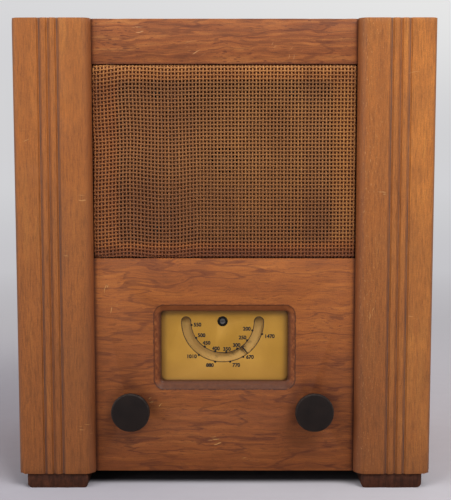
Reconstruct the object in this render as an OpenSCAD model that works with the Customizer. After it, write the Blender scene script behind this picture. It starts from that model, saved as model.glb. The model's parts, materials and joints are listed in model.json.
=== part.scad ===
// Table tube radio in a wooden cabinet: woven speaker cloth, arc dial and two knobs.
// Millimetres. X is to the right, Y is backwards, Z is up. The origin is the centre of the base.

/* [Cabinet] */
// Width over the two pilasters
cabinet_w = 305; // [290:1:380]
// Height from the table to the top, with the feet
cabinet_h = 345.5; // [335:0.5:430]
// Depth from the front of the pilasters to the rear edge of the sides
cabinet_d = 195; // [190:1:250]
// Thickness of the side, top and base boards
board_t = 9.5; // [8:0.5:12]
// Side of the square battens in the corners
batten_w = 12; // [10:0.5:15]
// Height of the feet
foot_h = 11; // [8:0.5:20]
// Width of each foot
foot_w = 45; // [30:0.5:52]
// Distance of each foot from the side of the cabinet
foot_inset = 5.5; // [2:0.5:8]
// Distance of the feet from the front of the pilasters
foot_set = 2; // [0:0.5:10]
// Radius of the lower long edges of the feet
foot_edge_r = 3; // [1:0.5:5]

/* [Front] */
// Width of each pilaster
pilaster_w = 56; // [47:0.5:67]
// Distance of the front panel and rail behind the pilasters' face
front_set = 9; // [8:0.5:12]
// Thickness of the front panel and rail
panel_t = 9; // [8:0.5:12]
// Height of the front panel
panel_h = 160.5; // [150:0.5:175]
// Height of the top rail
rail_h = 32.5; // [20:0.5:40]
// Radius of the pilasters' inner front edge
inner_edge_r = 7.5; // [3:0.5:8]
// Radius of the pilasters' outer front edge
outer_edge_r = 4; // [2:0.5:8]
// Radius of each groove down the pilasters
groove_r = 1.5; // [1:0.1:2]
// Distance of the first groove from the pilaster's outer edge
groove_first = 19.5; // [15:0.5:24]
// Distance from one groove to the next
groove_pitch = 6.5; // [5:0.5:7.5]

/* [Dial] */
// Distance of the dial window's middle below the scale's centre
window_drop = 18; // [15:0.5:20]
// Width of the dial window
window_w = 95; // [85:0.5:100]
// Height of the dial window
window_h = 53.5; // [48:0.5:56]
// Width of the slope round the dial window
bevel_w = 5; // [2:0.5:6]
// Depth of the slope round the dial window
bevel_d = 4.5; // [2:0.5:6]
// Radius of the dial window's corners
window_r = 2.5; // [1.5:0.5:6]
// Thickness of the dial plate
dial_t = 1.2; // [0.8:0.1:2]
// Height of the scale's centre above the chassis's deck
scale_rise = 42.5; // [40.5:0.5:44]
// Radius of the slot's middle line
slot_r = 27.3; // [25:0.1:28]
// Width of the slot
slot_w = 6.6; // [4:0.1:7]
// Radius of the hole at the scale's centre
pivot_hole_r = 3.9; // [3.6:0.1:5]
// Width of the pointer's blade
pointer_w = 0.9; // [0.6:0.1:2]
// Angle of the pointer from straight down, towards the right
pointer_deg = 37; // [-90:1:90]

/* [Controls] */
// Sideways place of the chassis and all that it carries
works_x = -1.5; // [-3:0.5:3]
// Distance of each knob from the middle of the works
knob_x = 67.5; // [66:0.5:72]
// Distance of the knobs below the chassis's deck
knob_drop = 21; // [18.5:0.5:26]
// Radius of each knob
knob_r = 14.2; // [10:0.1:18]
// Thickness of each knob
knob_t = 16.5; // [13:0.5:20]
// Radius of each knob at its back
knob_back_r = 10.8; // [9:0.1:14]
// Gap between a knob and the panel
knob_gap = 1.5; // [1:0.1:3]
// Radius of the control spindles
spindle_r = 3.175; // [3:0.025:3.5]
// Radius of the volume control's body
volume_r = 15; // [12:0.5:17]
// Turns of the tuning knob for one turn of the drum
drive_ratio = 7; // [6:0.5:8]
// Radius of the drum to the middle of the drive cord
drum_r = 21.5; // [20:0.5:22]
// Diameter of the drive cord
cord_d = 1; // [0.8:0.1:1.2]

/* [Loudspeaker] */
// Width of the opening in the speaker board
opening_w = 157; // [150:1:165]
// Height of the opening in the speaker board
opening_h = 118.5; // [110:0.5:122]
// Radius of the opening's corners
opening_r = 12; // [6:0.5:20]
// Distance of the speaker board from the panel, rail and pilasters
board_gap = 0.5; // [0.3:0.1:1]
// Thickness of the speaker cloth
cloth_t = 2.2; // [1.5:0.1:2.6]
// Distance of the cloth's face in front of the panel's face
cloth_proud = 1; // [0:0.5:3]
// Thickness of the baffle
baffle_t = 5; // [4:0.5:7]
// Radius of the round hole in the baffle
baffle_hole_r = 57; // [54:0.5:58]
// Width of the loudspeaker's flat rim
rim_w = 14; // [12:0.5:17]
// Depth of the loudspeaker's basket
basket_d = 44; // [38:0.5:50]
// Radius of the loudspeaker's magnet
magnet_r = 30; // [25:0.5:34]
// Length of the loudspeaker's magnet
magnet_l = 32; // [26:0.5:36]

/* [Chassis] */
// Width of the chassis
chassis_w = 250; // [240:1:252]
// Depth of the chassis
chassis_d = 136; // [130:1:140]
// Height of the chassis
chassis_h = 60; // [50:0.5:72]
// Thickness of the chassis sheet
sheet_t = 1.2; // [0.8:0.1:1.6]
// Gap between the chassis and the back cover
chassis_gap = 6.5; // [4:0.5:10]
// Width of the tuning condenser's frame
condenser_w = 50; // [48:1:60]
// Depth of the tuning condenser's frame
condenser_d = 50; // [46:1:60]
// Radius of the moving vanes
rotor_r = 21; // [18:0.5:22]
// Thickness of each vane
vane_t = 0.6; // [0.5:0.1:0.8]
// Distance from one moving vane to the next
vane_pitch = 2.8; // [2.6:0.1:3]
// Radius of a valve's glass bulb
bulb_r = 18; // [15:0.5:19]
// Height of a valve's glass bulb up to its dome
bulb_h = 48; // [35:1:60]
// Radius of a valve's base
base_r = 15.8; // [14.5:0.1:17]
// Height of a valve's base
base_h = 24; // [18:0.5:28]
// Width of the mains transformer's core
mains_core_w = 66; // [54:1:72]
// Width of the output transformer's core
output_core_w = 42; // [36:1:48]

/* [Back] */
// Thickness of the back cover
cover_t = 3.5; // [2.5:0.5:5]
// Distance of the back cover inside the rear edges
cover_set = 3; // [2.5:0.5:5]
// Gap round the back cover
cover_gap = 0.5; // [0.3:0.1:1]
// Radius of the ventilation holes
vent_r = 4; // [2.5:0.5:5]
// Distance between ventilation holes
vent_pitch = 17; // [13:1:20]
// Radius of the sockets' bores
socket_r = 2.05; // [1.5:0.05:2.5]
// Radius of the hole in the mains grommet
grommet_r = 3.6; // [3:0.1:4]

/* [Fits] */
// Radial gap of a turning spindle in its bearing
running_gap = 0.05; // [0.02:0.01:0.09]
// Radial gap of a screw or a fixed pin in its hole
screw_gap = 0.1; // [0.05:0.05:0.3]
// Gap in the welded seams of the chassis
seam_gap = 0.1; // [0.05:0.05:0.2]
// Gap between pieces that pass each other
free_gap = 0.4; // [0.3:0.1:0.6]

/* [Hidden] */
$fn = 96;

// Planes of the cabinet
knob_proud = max(0, knob_gap + knob_t - front_set);
front_y = (knob_proud - cabinet_d) / 2;
panel_y = front_y + front_set;
inner_y = panel_y + panel_t;
back_y = front_y + cabinet_d;
half_w = cabinet_w / 2;
inside_x = half_w - board_t;
post_x = half_w - pilaster_w;
foot_rear_set = 10;
base_top = foot_h + board_t;
deck_z = base_top + chassis_h;
roof_z = cabinet_h - board_t;
panel_top = foot_h + panel_h;
rail_z = cabinet_h - rail_h;
foot_x = half_w - foot_inset - foot_w / 2;
foot_back = back_y - foot_rear_set;
cover_y = back_y - cover_set - cover_t;
upper_vents = [4, 13];
upper_vent_drop = 40 + (upper_vents[0] - 1) * vent_pitch;
lower_vents = [3, 11];
lower_vent_rise = 24;
knob_z = deck_z - knob_drop;
scale_z = deck_z + scale_rise;
window_z = scale_z - window_drop;

// Speaker cloth on its board, and the baffle behind them
cloth_x = post_x - board_gap;
cloth_z0 = panel_top + board_gap;
cloth_z1 = rail_z - board_gap;
cloth_y = panel_y - cloth_proud;
wrap_t = 1.2;
board_x = cloth_x - wrap_t;
board_y = cloth_y + cloth_t;
speaker_z = (cloth_z0 + cloth_z1) / 2;
baffle_gap = 1;
baffle_x = inside_x - batten_w - baffle_gap;
baffle_lap = 8;
baffle_back = inner_y + baffle_t;

// Loudspeaker: radii, and distances behind the rim's face
rim_t = 1.6;
basket_t = 1.6;
skirt_d = 5;
cone_lap = 4.6;
cone_r = baffle_hole_r + cone_lap;
rim_inner_r = cone_r + free_gap;
speaker_r = rim_inner_r + rim_w;
throat_r = magnet_r / 2;
cone_front_d = 1.2;
cone_back_d = basket_d - 8;
cone_t = 0.8;
coil_r = 10.4;
coil_t = 0.4;
coil_d = basket_d + 11;
spider_t = 0.8;
pole_r = coil_r - 1.2;
magnet_gap_r = coil_r + coil_t + 0.8;
magnet_gap_d = 14;
speaker_bolt_r = speaker_r - 5.5;
bolt_r = 2;
bolt_head_r = 3.6;
bolt_head_h = 2.4;
speaker_nut_r = 3.8;
speaker_nut_t = 2.4;
frame_window_w = 24;
frame_window_in = 3;
frame_window_d = 4;
frame_window_end = 8;

// Dial, from its plate backwards
plate_w = window_w + 25;
plate_h = window_h + 20.5;
pointer_y = inner_y + dial_t + 0.8;
pointer_t = 0.8;
pointer_hub_r = 5;
pointer_r = slot_r + slot_w / 2 + 0.4;
pivot_head_r = pivot_hole_r - 0.7;
pivot_head_h = 1.8;
pivot_screw_r = 1.4;
pivot_screw_l = 8;
backing_y = pointer_y + pointer_t + 0.9;
backing_t = 0.8;
backing_hole_r = 9;
spacer_r = 3.2;
dial_screw_inset = 4;
lamp_x = works_x - 46;
lamp_cup_r = 6;
lamp_cup_h = 12;
lamp_wall = 1;
lamp_cap_h = 17;
lamp_bulb_r = 5.6;
lamp_foot_d = 14;
bracket_t = 1.2;

// Drive: the drum behind the dial, the cord and the waist of the tuning spindle
drum_y = backing_y + backing_t + 2.5;
drum_t = 6;
drum_web_t = 1.6;
drum_hub_r = 7;
drum_hub_l = 11;
drum_rim_r = drum_r + 1.2;
drum_rim_t = 5;
cord_y = drum_y + drum_t / 2;
cord_slack = 0.3;
cord_groove_w = cord_d + 2 * cord_slack;
drum_floor_r = drum_r - cord_d / 2 - cord_slack;
waist_cord_r = drum_r / drive_ratio;
waist_r = waist_cord_r - cord_d / 2 - cord_slack;
grub_r = 1.4;
grub_l = 7;
grub_set = 5;
drum_grub_l = 5;

// Chassis
chassis_back = cover_y - chassis_gap;
chassis_front = chassis_back - chassis_d;
chassis_x0 = works_x - chassis_w / 2;
chassis_x1 = works_x + chassis_w / 2;
lip_w = 16;
chassis_bolt_x = min(chassis_w / 2 - 33, foot_x - foot_w / 2 - 10);
chassis_bolt_r = 2.5;
chassis_bolt_head_r = 5;
chassis_bolt_head_h = 2.8;
chassis_bolt_tip = 2;
chassis_nut_r = 4.6;
chassis_nut_t = 4;
lamp_y = (backing_y + backing_t + chassis_front) / 2;

// Controls
bush_r = 4.8;
bush_l = 8;
flange_r = 8;
flange_t = 2.5;
bush_nut_r = 7.4;
bush_nut_t = 2.4;
knob_back = panel_y - knob_gap;
knob_front = knob_back - knob_t;
knob_edge_r = 1.2;
knob_rim = 3;
knob_bore_l = knob_t - 4;
spindle_front = knob_back - knob_bore_l + 0.5;
tuning_x = works_x + knob_x;
volume_x = works_x - knob_x;
collar_y = chassis_front + sheet_t + flange_t + free_gap;
collar_r = 5.5;
collar_t = 1.2;
volume_l = 15;
switch_l = 8;
switch_in = 4;
TERMINAL_X = [-7, 0, 7];
terminal_w = 3;
terminal_t = 1;
terminal_out = 5;
terminal_d = 4;
volume_spindle_back = chassis_front + 9;

// Tuning condenser on the deck, its shaft in line with the scale
condenser_y = chassis_front + 3;
condenser_back = condenser_y + condenser_d;
condenser_z = deck_z + 10;
condenser_top = scale_z + rotor_r + 4;
condenser_t = 1.6;
boss_r = 6;
boss_l = 2.5;
leg_w = 8;
stator_r = rotor_r + 3;
stator_bore_r = 7.5;
stator_set = 1;
stator_post_r = 1.4;
stator_post_x = stator_r - 5;
stator_post_z = stator_r - 9;
vane_count = 6;
rotor_hub_r = 5.8;
gang_l = condenser_d / 2;

// Coil cans on the deck, one beside the condenser and one behind it
can_w = 27;
deck_gap = 3;
can_x = works_x - 62;
CANS = [[can_x, chassis_back - 67.5],
    [works_x - 24, condenser_back + deck_gap + can_w / 2]];
can_h = 58;
can_t = 0.8;
can_corner_r = 3;
former_r = 5;
former_drop = 6;
winding_r = 9;
winding_h = 8;
WINDING_Z = [12, 32];

// Valves: the place of each, and the height of its bulb
valve_set = can_w / 2 + deck_gap + bulb_r;
short_bulb_h = bulb_h - 8;
VALVES = [[can_x, CANS[0][1] - valve_set, short_bulb_h], [can_x, CANS[0][1] + valve_set, short_bulb_h],
    [works_x - 18, CANS[1][1] + valve_set, bulb_h], [works_x + 24, chassis_back - 36, bulb_h]];
holder_t = 1.5;
well_r = base_r - 2.5;
well_d = 9;
spigot_r = 3.6;
pin_r = 1.1;
pin_ring_r = 8.7;
pin_l = 8;
neck_r = base_r - 1.6;
neck_h = 12;
neck_sunk = 8;
glass_t = 1;
base_floor = 3;
stem_r = 2;
stem_rise = 4;
anode_r = 8;
anode_drop = 8;
mica_r = 12;
mica_t = 0.8;

// Smoothing can
smoothing_x = works_x + 58;
smoothing_y = chassis_front + 32;
smoothing_r = 16;
smoothing_h = 62;
smoothing_base_h = 6;
smoothing_base_r = smoothing_r + 2;
bead_z = 10;
bead_h = 1.5;
bead_r = smoothing_r + 0.6;

// Transformers
mains_x = chassis_x1 - mains_core_w / 2 - 8;
mains_y = chassis_back - 46;
mains_core_t = 30;
output_x = chassis_x0 + output_core_w / 2 + 4;
output_y = chassis_back - 75;
output_core_t = 18;
winding_gap = 0.3;

// Tag board under the deck
tag_w = 96;
tag_d = 44;
tag_t = 1.6;
tag_y = chassis_front + 84;
tag_z = deck_z - sheet_t - 12;
lead_r = 0.4;
lead_l = 4;
lead_gap = 0.3;
tag_post_r = 3;
tag_post_in = 4;
resistor_r = 2.5;
resistor_l = 16;
RESISTOR_X = [for (i = [0 : 5]) -43 + 9 * i];
capacitor_r = 5;
capacitor_l = 28;
CAPACITOR_X = [for (i = [0 : 2]) 13 + 12 * i];

// Sockets and mains inlet in the rear of the chassis
strip_w = 46;
strip_h = 18;
strip_t = 2;
strip_clear_x = 4;
strip_clear_z = 3;
strip_window_r = 3;
strip_z = deck_z - 22;
strip_x = 78;
socket_x = 11;
STRIP_X = [works_x - strip_x, works_x + strip_x];
SOCKET_X = [for (x = STRIP_X, side = [-1, 1]) x + side * socket_x];
socket_outer_r = socket_r + 1.1;
socket_flange_r = socket_r + 2.6;
socket_flange_t = 1;
socket_clear = 2;
socket_proud = 4;
socket_l = 14;
inlet_x = works_x;
inlet_z = deck_z - 38;
inlet_hole_r = grommet_r + 2;
inlet_flange_r = grommet_r + 4;
inlet_flange_t = 2;

// Screws, and the places of all that is fastened
screw_r = 1.6;
screw_head_r = 3.4;
screw_head_h = 2;
cut_w = 0.8;
screw_end_gap = 1;
baffle_screw_d = 9;
board_screw_d = 5;
dial_screw_d = 5;
foot_screw_sunk = 4;
foot_screw_d = board_t - 2;
cover_screw_d = batten_w - 3;
baffle_screw_x = post_x + 12;
baffle_screw_z = 62;
board_screw_x = (opening_w / 2 + board_x) / 2;
board_screw_z = opening_h / 2 - 8;
foot_screw_inset = 30;
cover_screw_inset = 20;
BAFFLE_SCREWS = [for (x = [-1, 1], z = [-1, 0, 1]) [x * baffle_screw_x, speaker_z + z * baffle_screw_z]];
BOARD_SCREWS = [for (x = [-1, 1], z = [-1, 1])
    [x * board_screw_x, speaker_z + z * board_screw_z]];
DIAL_SCREWS = [for (x = [-1, 1], z = [-1, 1])
    [x * (plate_w / 2 - dial_screw_inset), window_z + z * (plate_h / 2 - dial_screw_inset)]];
FOOT_SCREW_Y = [front_y + foot_screw_inset, (front_y + back_y) / 2, back_y - foot_screw_inset];
COVER_SCREWS = [for (x = [-1, 1], z = [-1, 0, 1])
    [x * (inside_x - batten_w / 2),
        (base_top + roof_z) / 2 + z * ((roof_z - base_top) / 2 - cover_screw_inset)]];
SPEAKER_BOLTS = [for (a = [45 : 90 : 315])
    [speaker_bolt_r * cos(a), speaker_z + speaker_bolt_r * sin(a)]];
CHASSIS_BOLTS = [for (x = [-1, 1], y = [chassis_front + lip_w / 2, chassis_back - lip_w / 2])
    [x * chassis_bolt_x, y]];

// A rounded rectangle about the origin
module rounded_rect(w, h, r) {
    square([w - 2 * r, h], center = true);
    square([w, h - 2 * r], center = true);
    for (x = [-1, 1], y = [-1, 1])
        translate([x * (w / 2 - r), y * (h / 2 - r)])
            circle(r = r);
}

// What a rounding of radius r takes off the corner at the origin
module corner_cut(r) {
    difference() {
        translate([-1, -1])
            square(r + 1);
        translate([r, r])
            circle(r = r);
    }
}

// An outline drawn in X and Z, from the plane y backwards
module upright(y, t) {
    translate([0, y + t, 0])
        rotate([90, 0, 0])
            linear_extrude(t)
                children();
}

// A round bar that runs backwards from y
module bar(x, z, y, l, r) {
    translate([x, y, z])
        rotate([-90, 0, 0])
            cylinder(h = l, r = r);
}

// A profile of radius and distance behind y, turned about a line that runs backwards
module turned(x, z, y) {
    translate([x, y, z])
        rotate([-90, 0, 0])
            rotate_extrude()
                children();
}

// A rectangle of a profile: from r0 to r1 and from d0 to d1
module band(r0, r1, d0, d1) {
    translate([r0, d0])
        square([r1 - r0, d1 - d0]);
}

// A box between two corners
module block(low, high) {
    translate(low)
        cube(high - low);
}

// A slotted screw with its head above the origin and its shank below
module screw(head_r, head_h, shank_r, shank_l) {
    difference() {
        cylinder(h = head_h, r = head_r);
        translate([-head_r - 1, -cut_w / 2, head_h - cut_w])
            cube([2 * head_r + 2, cut_w, cut_w + 1]);
    }
    translate([0, 0, -shank_l])
        cylinder(h = shank_l, r = shank_r);
}

// A screw that is driven forwards, with its head on the plane y
module screw_at(x, z, y, head_r, head_h, shank_r, shank_l) {
    translate([x, y, z])
        rotate([-90, 0, 0])
            screw(head_r, head_h, shank_r, shank_l);
}

// A blind hole of depth d, drilled forwards from the plane y, for a screw's end
module screw_hole(x, z, y, d) {
    bar(x, z, y - d - screw_end_gap, d + screw_end_gap + 1, screw_r + screw_gap);
}

// A hexagonal nut whose bore runs backwards from y
module nut(x, z, y, r, t, bore_r) {
    difference() {
        translate([x, y, z])
            rotate([-90, 0, 0])
                cylinder(h = t, r = r, $fn = 6);
        bar(x, z, y - 1, t + 2, bore_r);
    }
}

// The shape and its mirror image across the cabinet's middle
module both_sides() {
    children();
    mirror([1, 0, 0])
        children();
}

// Cabinet boards

module side() {
    color([0.62, 0.38, 0.22])
        block([inside_x, inner_y, foot_h], [half_w, back_y, roof_z]);
}

module side_left() {
    mirror([1, 0, 0])
        side();
}

module side_right() {
    side();
}

module top_board() {
    color([0.62, 0.38, 0.22])
        block([-half_w, inner_y, roof_z], [half_w, back_y, cabinet_h]);
}

module base_board() {
    color([0.4, 0.26, 0.17])
        difference() {
            block([-inside_x, inner_y, foot_h], [inside_x, back_y, base_top]);
            for (p = CHASSIS_BOLTS)
                translate([p[0], p[1], foot_h - 1])
                    cylinder(h = board_t + 2, r = chassis_bolt_r + screw_gap);
            both_sides()
                for (y = FOOT_SCREW_Y)
                    translate([foot_x, y, foot_h - 1])
                        cylinder(h = foot_screw_d + screw_end_gap + 1, r = screw_r + screw_gap);
        }
}

module pilaster_outline() {
    difference() {
        translate([post_x, front_y])
            square([pilaster_w, front_set + panel_t]);
        translate([post_x, front_y])
            corner_cut(inner_edge_r);
        translate([half_w, front_y])
            mirror([1, 0])
                corner_cut(outer_edge_r);
        for (i = [0 : 2])
            translate([half_w - groove_first - i * groove_pitch, front_y])
                circle(r = groove_r);
    }
}

module pilaster() {
    color([0.66, 0.42, 0.24])
        difference() {
            translate([0, 0, foot_h])
                linear_extrude(cabinet_h - foot_h)
                    pilaster_outline();
            for (p = BAFFLE_SCREWS)
                if (p[0] > 0)
                    screw_hole(p[0], p[1], inner_y, baffle_screw_d);
        }
}

module pilaster_left() {
    mirror([1, 0, 0])
        pilaster();
}

module pilaster_right() {
    pilaster();
}

module top_rail() {
    color([0.62, 0.38, 0.24])
        block([-post_x, panel_y, rail_z], [post_x, inner_y, cabinet_h]);
}

module front_panel() {
    color([0.52, 0.3, 0.18])
        difference() {
            block([-post_x, panel_y, foot_h], [post_x, inner_y, panel_top]);
            translate([0, 0, window_z])
                upright(panel_y - 1, panel_t + 2)
                    rounded_rect(window_w, window_h, window_r);
            translate([0, 0, window_z])
                hull() {
                    upright(panel_y + bevel_d, 0.01)
                        rounded_rect(window_w, window_h, window_r, $fn = 32);
                    upright(panel_y - 0.01, 0.01)
                        rounded_rect(window_w + 2 * bevel_w, window_h + 2 * bevel_w,
                            window_r + bevel_w, $fn = 32);
                }
            for (x = [tuning_x, volume_x])
                bar(x, knob_z, panel_y - 1, panel_t + 2, spindle_r + 1.8);
            for (p = DIAL_SCREWS)
                screw_hole(p[0], p[1], inner_y, dial_screw_d);
        }
}

module battens() {
    color([0.75, 0.6, 0.42])
        both_sides() {
            block([inside_x - batten_w, inner_y, base_top],
                [inside_x, inner_y + batten_w, roof_z]);
            difference() {
                block([inside_x - batten_w, cover_y - batten_w, base_top],
                    [inside_x, cover_y, roof_z]);
                for (p = COVER_SCREWS)
                    if (p[0] > 0)
                        screw_hole(p[0], p[1], cover_y, cover_screw_d);
            }
        }
}

module foot() {
    color([0.27, 0.17, 0.12])
        difference() {
            upright(front_y + foot_set, foot_back - front_y - foot_set)
                translate([foot_x - foot_w / 2, 0])
                    difference() {
                        square([foot_w, foot_h]);
                        corner_cut(foot_edge_r);
                        translate([foot_w, 0])
                            mirror([1, 0])
                                corner_cut(foot_edge_r);
                    }
            for (y = FOOT_SCREW_Y)
                translate([foot_x, y, -1]) {
                    cylinder(h = foot_h + 2, r = screw_r + screw_gap);
                    cylinder(h = foot_screw_sunk + 1, r = screw_head_r + screw_gap);
                }
        }
}

module feet() {
    for (side = [0, 1])
        mirror([side, 0, 0])
            foot();
}

// Rows and columns of holes, the lowest row at z
module vent_rows(z, counts) {
    for (row = [0 : counts[0] - 1], column = [0 : counts[1] - 1])
        bar((column - (counts[1] - 1) / 2) * vent_pitch, z + row * vent_pitch,
            cover_y - 1, cover_t + 2, vent_r);
}

module back_cover() {
    color([0.45, 0.32, 0.2])
        difference() {
            block([-inside_x + cover_gap, cover_y, base_top + cover_gap],
                [inside_x - cover_gap, cover_y + cover_t, roof_z - cover_gap]);
            vent_rows(roof_z - upper_vent_drop, upper_vents);
            vent_rows(deck_z + lower_vent_rise, lower_vents);
            for (x = STRIP_X)
                translate([x, 0, strip_z])
                    upright(cover_y - 1, cover_t + 2)
                        rounded_rect(strip_w + 2 * strip_clear_x, strip_h + 2 * strip_clear_z,
                            strip_window_r);
            bar(inlet_x, inlet_z, cover_y - 1, cover_t + 2, inlet_flange_r + 1);
            for (p = COVER_SCREWS)
                bar(p[0], p[1], cover_y - 1, cover_t + 2, screw_r + screw_gap);
        }
}

// Fasteners of the cabinet

module back_screws() {
    color([0.72, 0.7, 0.66])
        for (p = COVER_SCREWS)
            screw_at(p[0], p[1], cover_y + cover_t, screw_head_r, screw_head_h,
                screw_r, cover_t + cover_screw_d);
}

module wood_screws() {
    color([0.6, 0.58, 0.55]) {
        for (p = BAFFLE_SCREWS)
            screw_at(p[0], p[1], baffle_back, screw_head_r, screw_head_h, screw_r,
                baffle_t + baffle_screw_d);
        for (p = BOARD_SCREWS)
            screw_at(p[0], p[1], baffle_back, screw_head_r, screw_head_h, screw_r,
                baffle_t + board_screw_d);
        for (p = DIAL_SCREWS)
            screw_at(p[0], p[1], backing_y + backing_t, screw_head_r, screw_head_h, screw_r,
                backing_y + backing_t - inner_y + dial_screw_d);
        both_sides()
            for (y = FOOT_SCREW_Y)
                translate([foot_x, y, foot_screw_sunk])
                    rotate([180, 0, 0])
                        screw(screw_head_r, screw_head_h, screw_r,
                            foot_h - foot_screw_sunk + foot_screw_d);
    }
}

module chassis_bolts() {
    color([0.6, 0.58, 0.55])
        for (p = CHASSIS_BOLTS)
            translate([p[0], p[1], 0]) {
                translate([0, 0, foot_h])
                    rotate([180, 0, 0])
                        screw(chassis_bolt_head_r, chassis_bolt_head_h, chassis_bolt_r,
                            board_t + sheet_t + chassis_nut_t + chassis_bolt_tip);
                translate([0, 0, base_top + sheet_t])
                    difference() {
                        cylinder(h = chassis_nut_t, r = chassis_nut_r, $fn = 6);
                        translate([0, 0, -1])
                            cylinder(h = chassis_nut_t + 2, r = chassis_bolt_r + screw_gap);
                    }
            }
}

// Speaker board, cloth and baffle

module speaker_board() {
    color([0.45, 0.25, 0.16])
        difference() {
            block([-board_x, board_y, cloth_z0 + wrap_t], [board_x, inner_y, cloth_z1 - wrap_t]);
            translate([0, 0, speaker_z])
                upright(board_y - 1, inner_y - board_y + 2)
                    rounded_rect(opening_w, opening_h, opening_r);
            for (p = BOARD_SCREWS)
                screw_hole(p[0], p[1], inner_y, board_screw_d);
        }
}

module speaker_cloth() {
    color([0.6, 0.44, 0.26])
        difference() {
            block([-cloth_x, cloth_y, cloth_z0], [cloth_x, inner_y, cloth_z1]);
            block([-board_x, board_y, cloth_z0 + wrap_t], [board_x, inner_y + 1, cloth_z1 - wrap_t]);
        }
}

module speaker_baffle() {
    color([0.3, 0.2, 0.14])
        difference() {
            block([-baffle_x, inner_y, cloth_z0 - baffle_lap],
                [baffle_x, baffle_back, cloth_z1 + baffle_lap]);
            bar(0, speaker_z, inner_y - 1, baffle_t + 2, baffle_hole_r);
            for (p = concat(BAFFLE_SCREWS, BOARD_SCREWS))
                bar(p[0], p[1], inner_y - 1, baffle_t + 2, screw_r + screw_gap);
            for (p = SPEAKER_BOLTS)
                bar(p[0], p[1], inner_y - 1, baffle_t + 2, bolt_r + screw_gap);
        }
}

// Dial

module slot_outline() {
    difference() {
        circle(r = slot_r + slot_w / 2);
        circle(r = slot_r - slot_w / 2);
        translate([-2 * slot_r, 0])
            square([4 * slot_r, 2 * slot_r]);
    }
    for (x = [-slot_r, slot_r])
        translate([x, 0])
            circle(r = slot_w / 2);
}

module dial_screw_holes(y, t) {
    for (p = DIAL_SCREWS)
        bar(p[0], p[1], y - 1, t + 2, screw_r + screw_gap);
}

module dial_plate() {
    color([0.72, 0.55, 0.27])
        difference() {
            upright(inner_y, dial_t)
                difference() {
                    translate([0, window_z])
                        square([plate_w, plate_h], center = true);
                    translate([works_x, scale_z]) {
                        slot_outline();
                        circle(r = pivot_hole_r);
                    }
                }
            dial_screw_holes(inner_y, dial_t);
        }
}

module dial_backing() {
    color([0.85, 0.72, 0.5])
        difference() {
            translate([0, 0, window_z])
                upright(backing_y, backing_t)
                    square([plate_w, plate_h], center = true);
            bar(works_x, scale_z, backing_y - 1, backing_t + 2, backing_hole_r);
            dial_screw_holes(backing_y, backing_t);
        }
}

module dial_spacers() {
    color([0.78, 0.62, 0.3])
        difference() {
            for (p = DIAL_SCREWS)
                bar(p[0], p[1], inner_y + dial_t, backing_y - inner_y - dial_t, spacer_r);
            dial_screw_holes(inner_y, backing_y - inner_y);
        }
}

module dial_lamp() {
    cup_z = deck_z + bracket_t;
    color([0.75, 0.75, 0.72]) {
        block([lamp_x - lamp_cup_r, lamp_y - lamp_cup_r - 1, deck_z],
            [lamp_x + lamp_cup_r, chassis_front + lamp_foot_d, cup_z]);
        translate([lamp_x, lamp_y, cup_z])
            difference() {
                cylinder(h = lamp_cup_h, r = lamp_cup_r);
                translate([0, 0, lamp_wall])
                    cylinder(h = lamp_cup_h, r = lamp_cup_r - lamp_wall);
            }
    }
    color([0.9, 0.88, 0.8])
        translate([lamp_x, lamp_y, cup_z + lamp_wall + screw_gap]) {
            cylinder(h = lamp_cap_h, r = lamp_cup_r - lamp_wall - 2 * screw_gap);
            translate([0, 0, lamp_cap_h + 1])
                sphere(r = lamp_bulb_r);
        }
}

// Tuning drive

module knob_outline() {
    difference() {
        polygon([[0, 0], [knob_r, 0], [knob_r, knob_rim], [knob_back_r, knob_t], [0, knob_t]]);
        translate([knob_r, 0])
            mirror([1, 0])
                corner_cut(knob_edge_r);
    }
}

module knob(x) {
    color([0.13, 0.11, 0.11])
        difference() {
            turned(x, knob_z, knob_front)
                knob_outline();
            bar(x, knob_z, knob_back - knob_bore_l, knob_bore_l + 1, spindle_r + screw_gap);
            translate([x, knob_back - grub_set, knob_z - knob_r - 1])
                cylinder(h = knob_r + 1, r = grub_r + screw_gap);
        }
}

module knob_screw(x) {
    color([0.5, 0.48, 0.45])
        translate([x, knob_back - grub_set, knob_z - spindle_r - grub_l])
            cylinder(h = grub_l - screw_gap, r = grub_r);
}

module tuning_knob() {
    knob(tuning_x);
}

module tuning_knob_screw() {
    knob_screw(tuning_x);
}

module tuning_spindle() {
    waist_d = cord_y - spindle_front;
    spindle_l = collar_y + collar_t + 1 - spindle_front;
    collar_d = collar_y - spindle_front;
    color([0.75, 0.74, 0.72])
        turned(tuning_x, knob_z, spindle_front) {
            band(0, spindle_r, 0, waist_d - cord_groove_w / 2);
            band(0, waist_r, 0, spindle_l);
            band(0, spindle_r, waist_d + cord_groove_w / 2, spindle_l);
            band(0, collar_r, collar_d, collar_d + collar_t);
        }
}

module bush_shape(x, r, l) {
    bar(x, knob_z, chassis_front - bush_l, bush_l + sheet_t + 1, bush_r);
    bar(x, knob_z, chassis_front + sheet_t, l, r);
}

module tuning_bush() {
    color([0.78, 0.62, 0.3])
        difference() {
            bush_shape(tuning_x, flange_r, flange_t);
            bar(tuning_x, knob_z, chassis_front - bush_l - 1, bush_l + 10, spindle_r + running_gap);
        }
}

module bush_nuts() {
    color([0.72, 0.7, 0.66])
        for (x = [tuning_x, volume_x])
            nut(x, knob_z, chassis_front - bush_nut_t, bush_nut_r, bush_nut_t, bush_r + screw_gap);
}

// The outline of the cord's loop, drawn out from the cord's middle line. The drum is at the
// origin, and the spindle lies along X.
module cord_outline(out) {
    hull() {
        circle(r = drum_r + out, $fn = 64);
        translate([norm([knob_x, scale_z - knob_z]), 0])
            circle(r = waist_cord_r + out, $fn = 32);
    }
}

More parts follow.
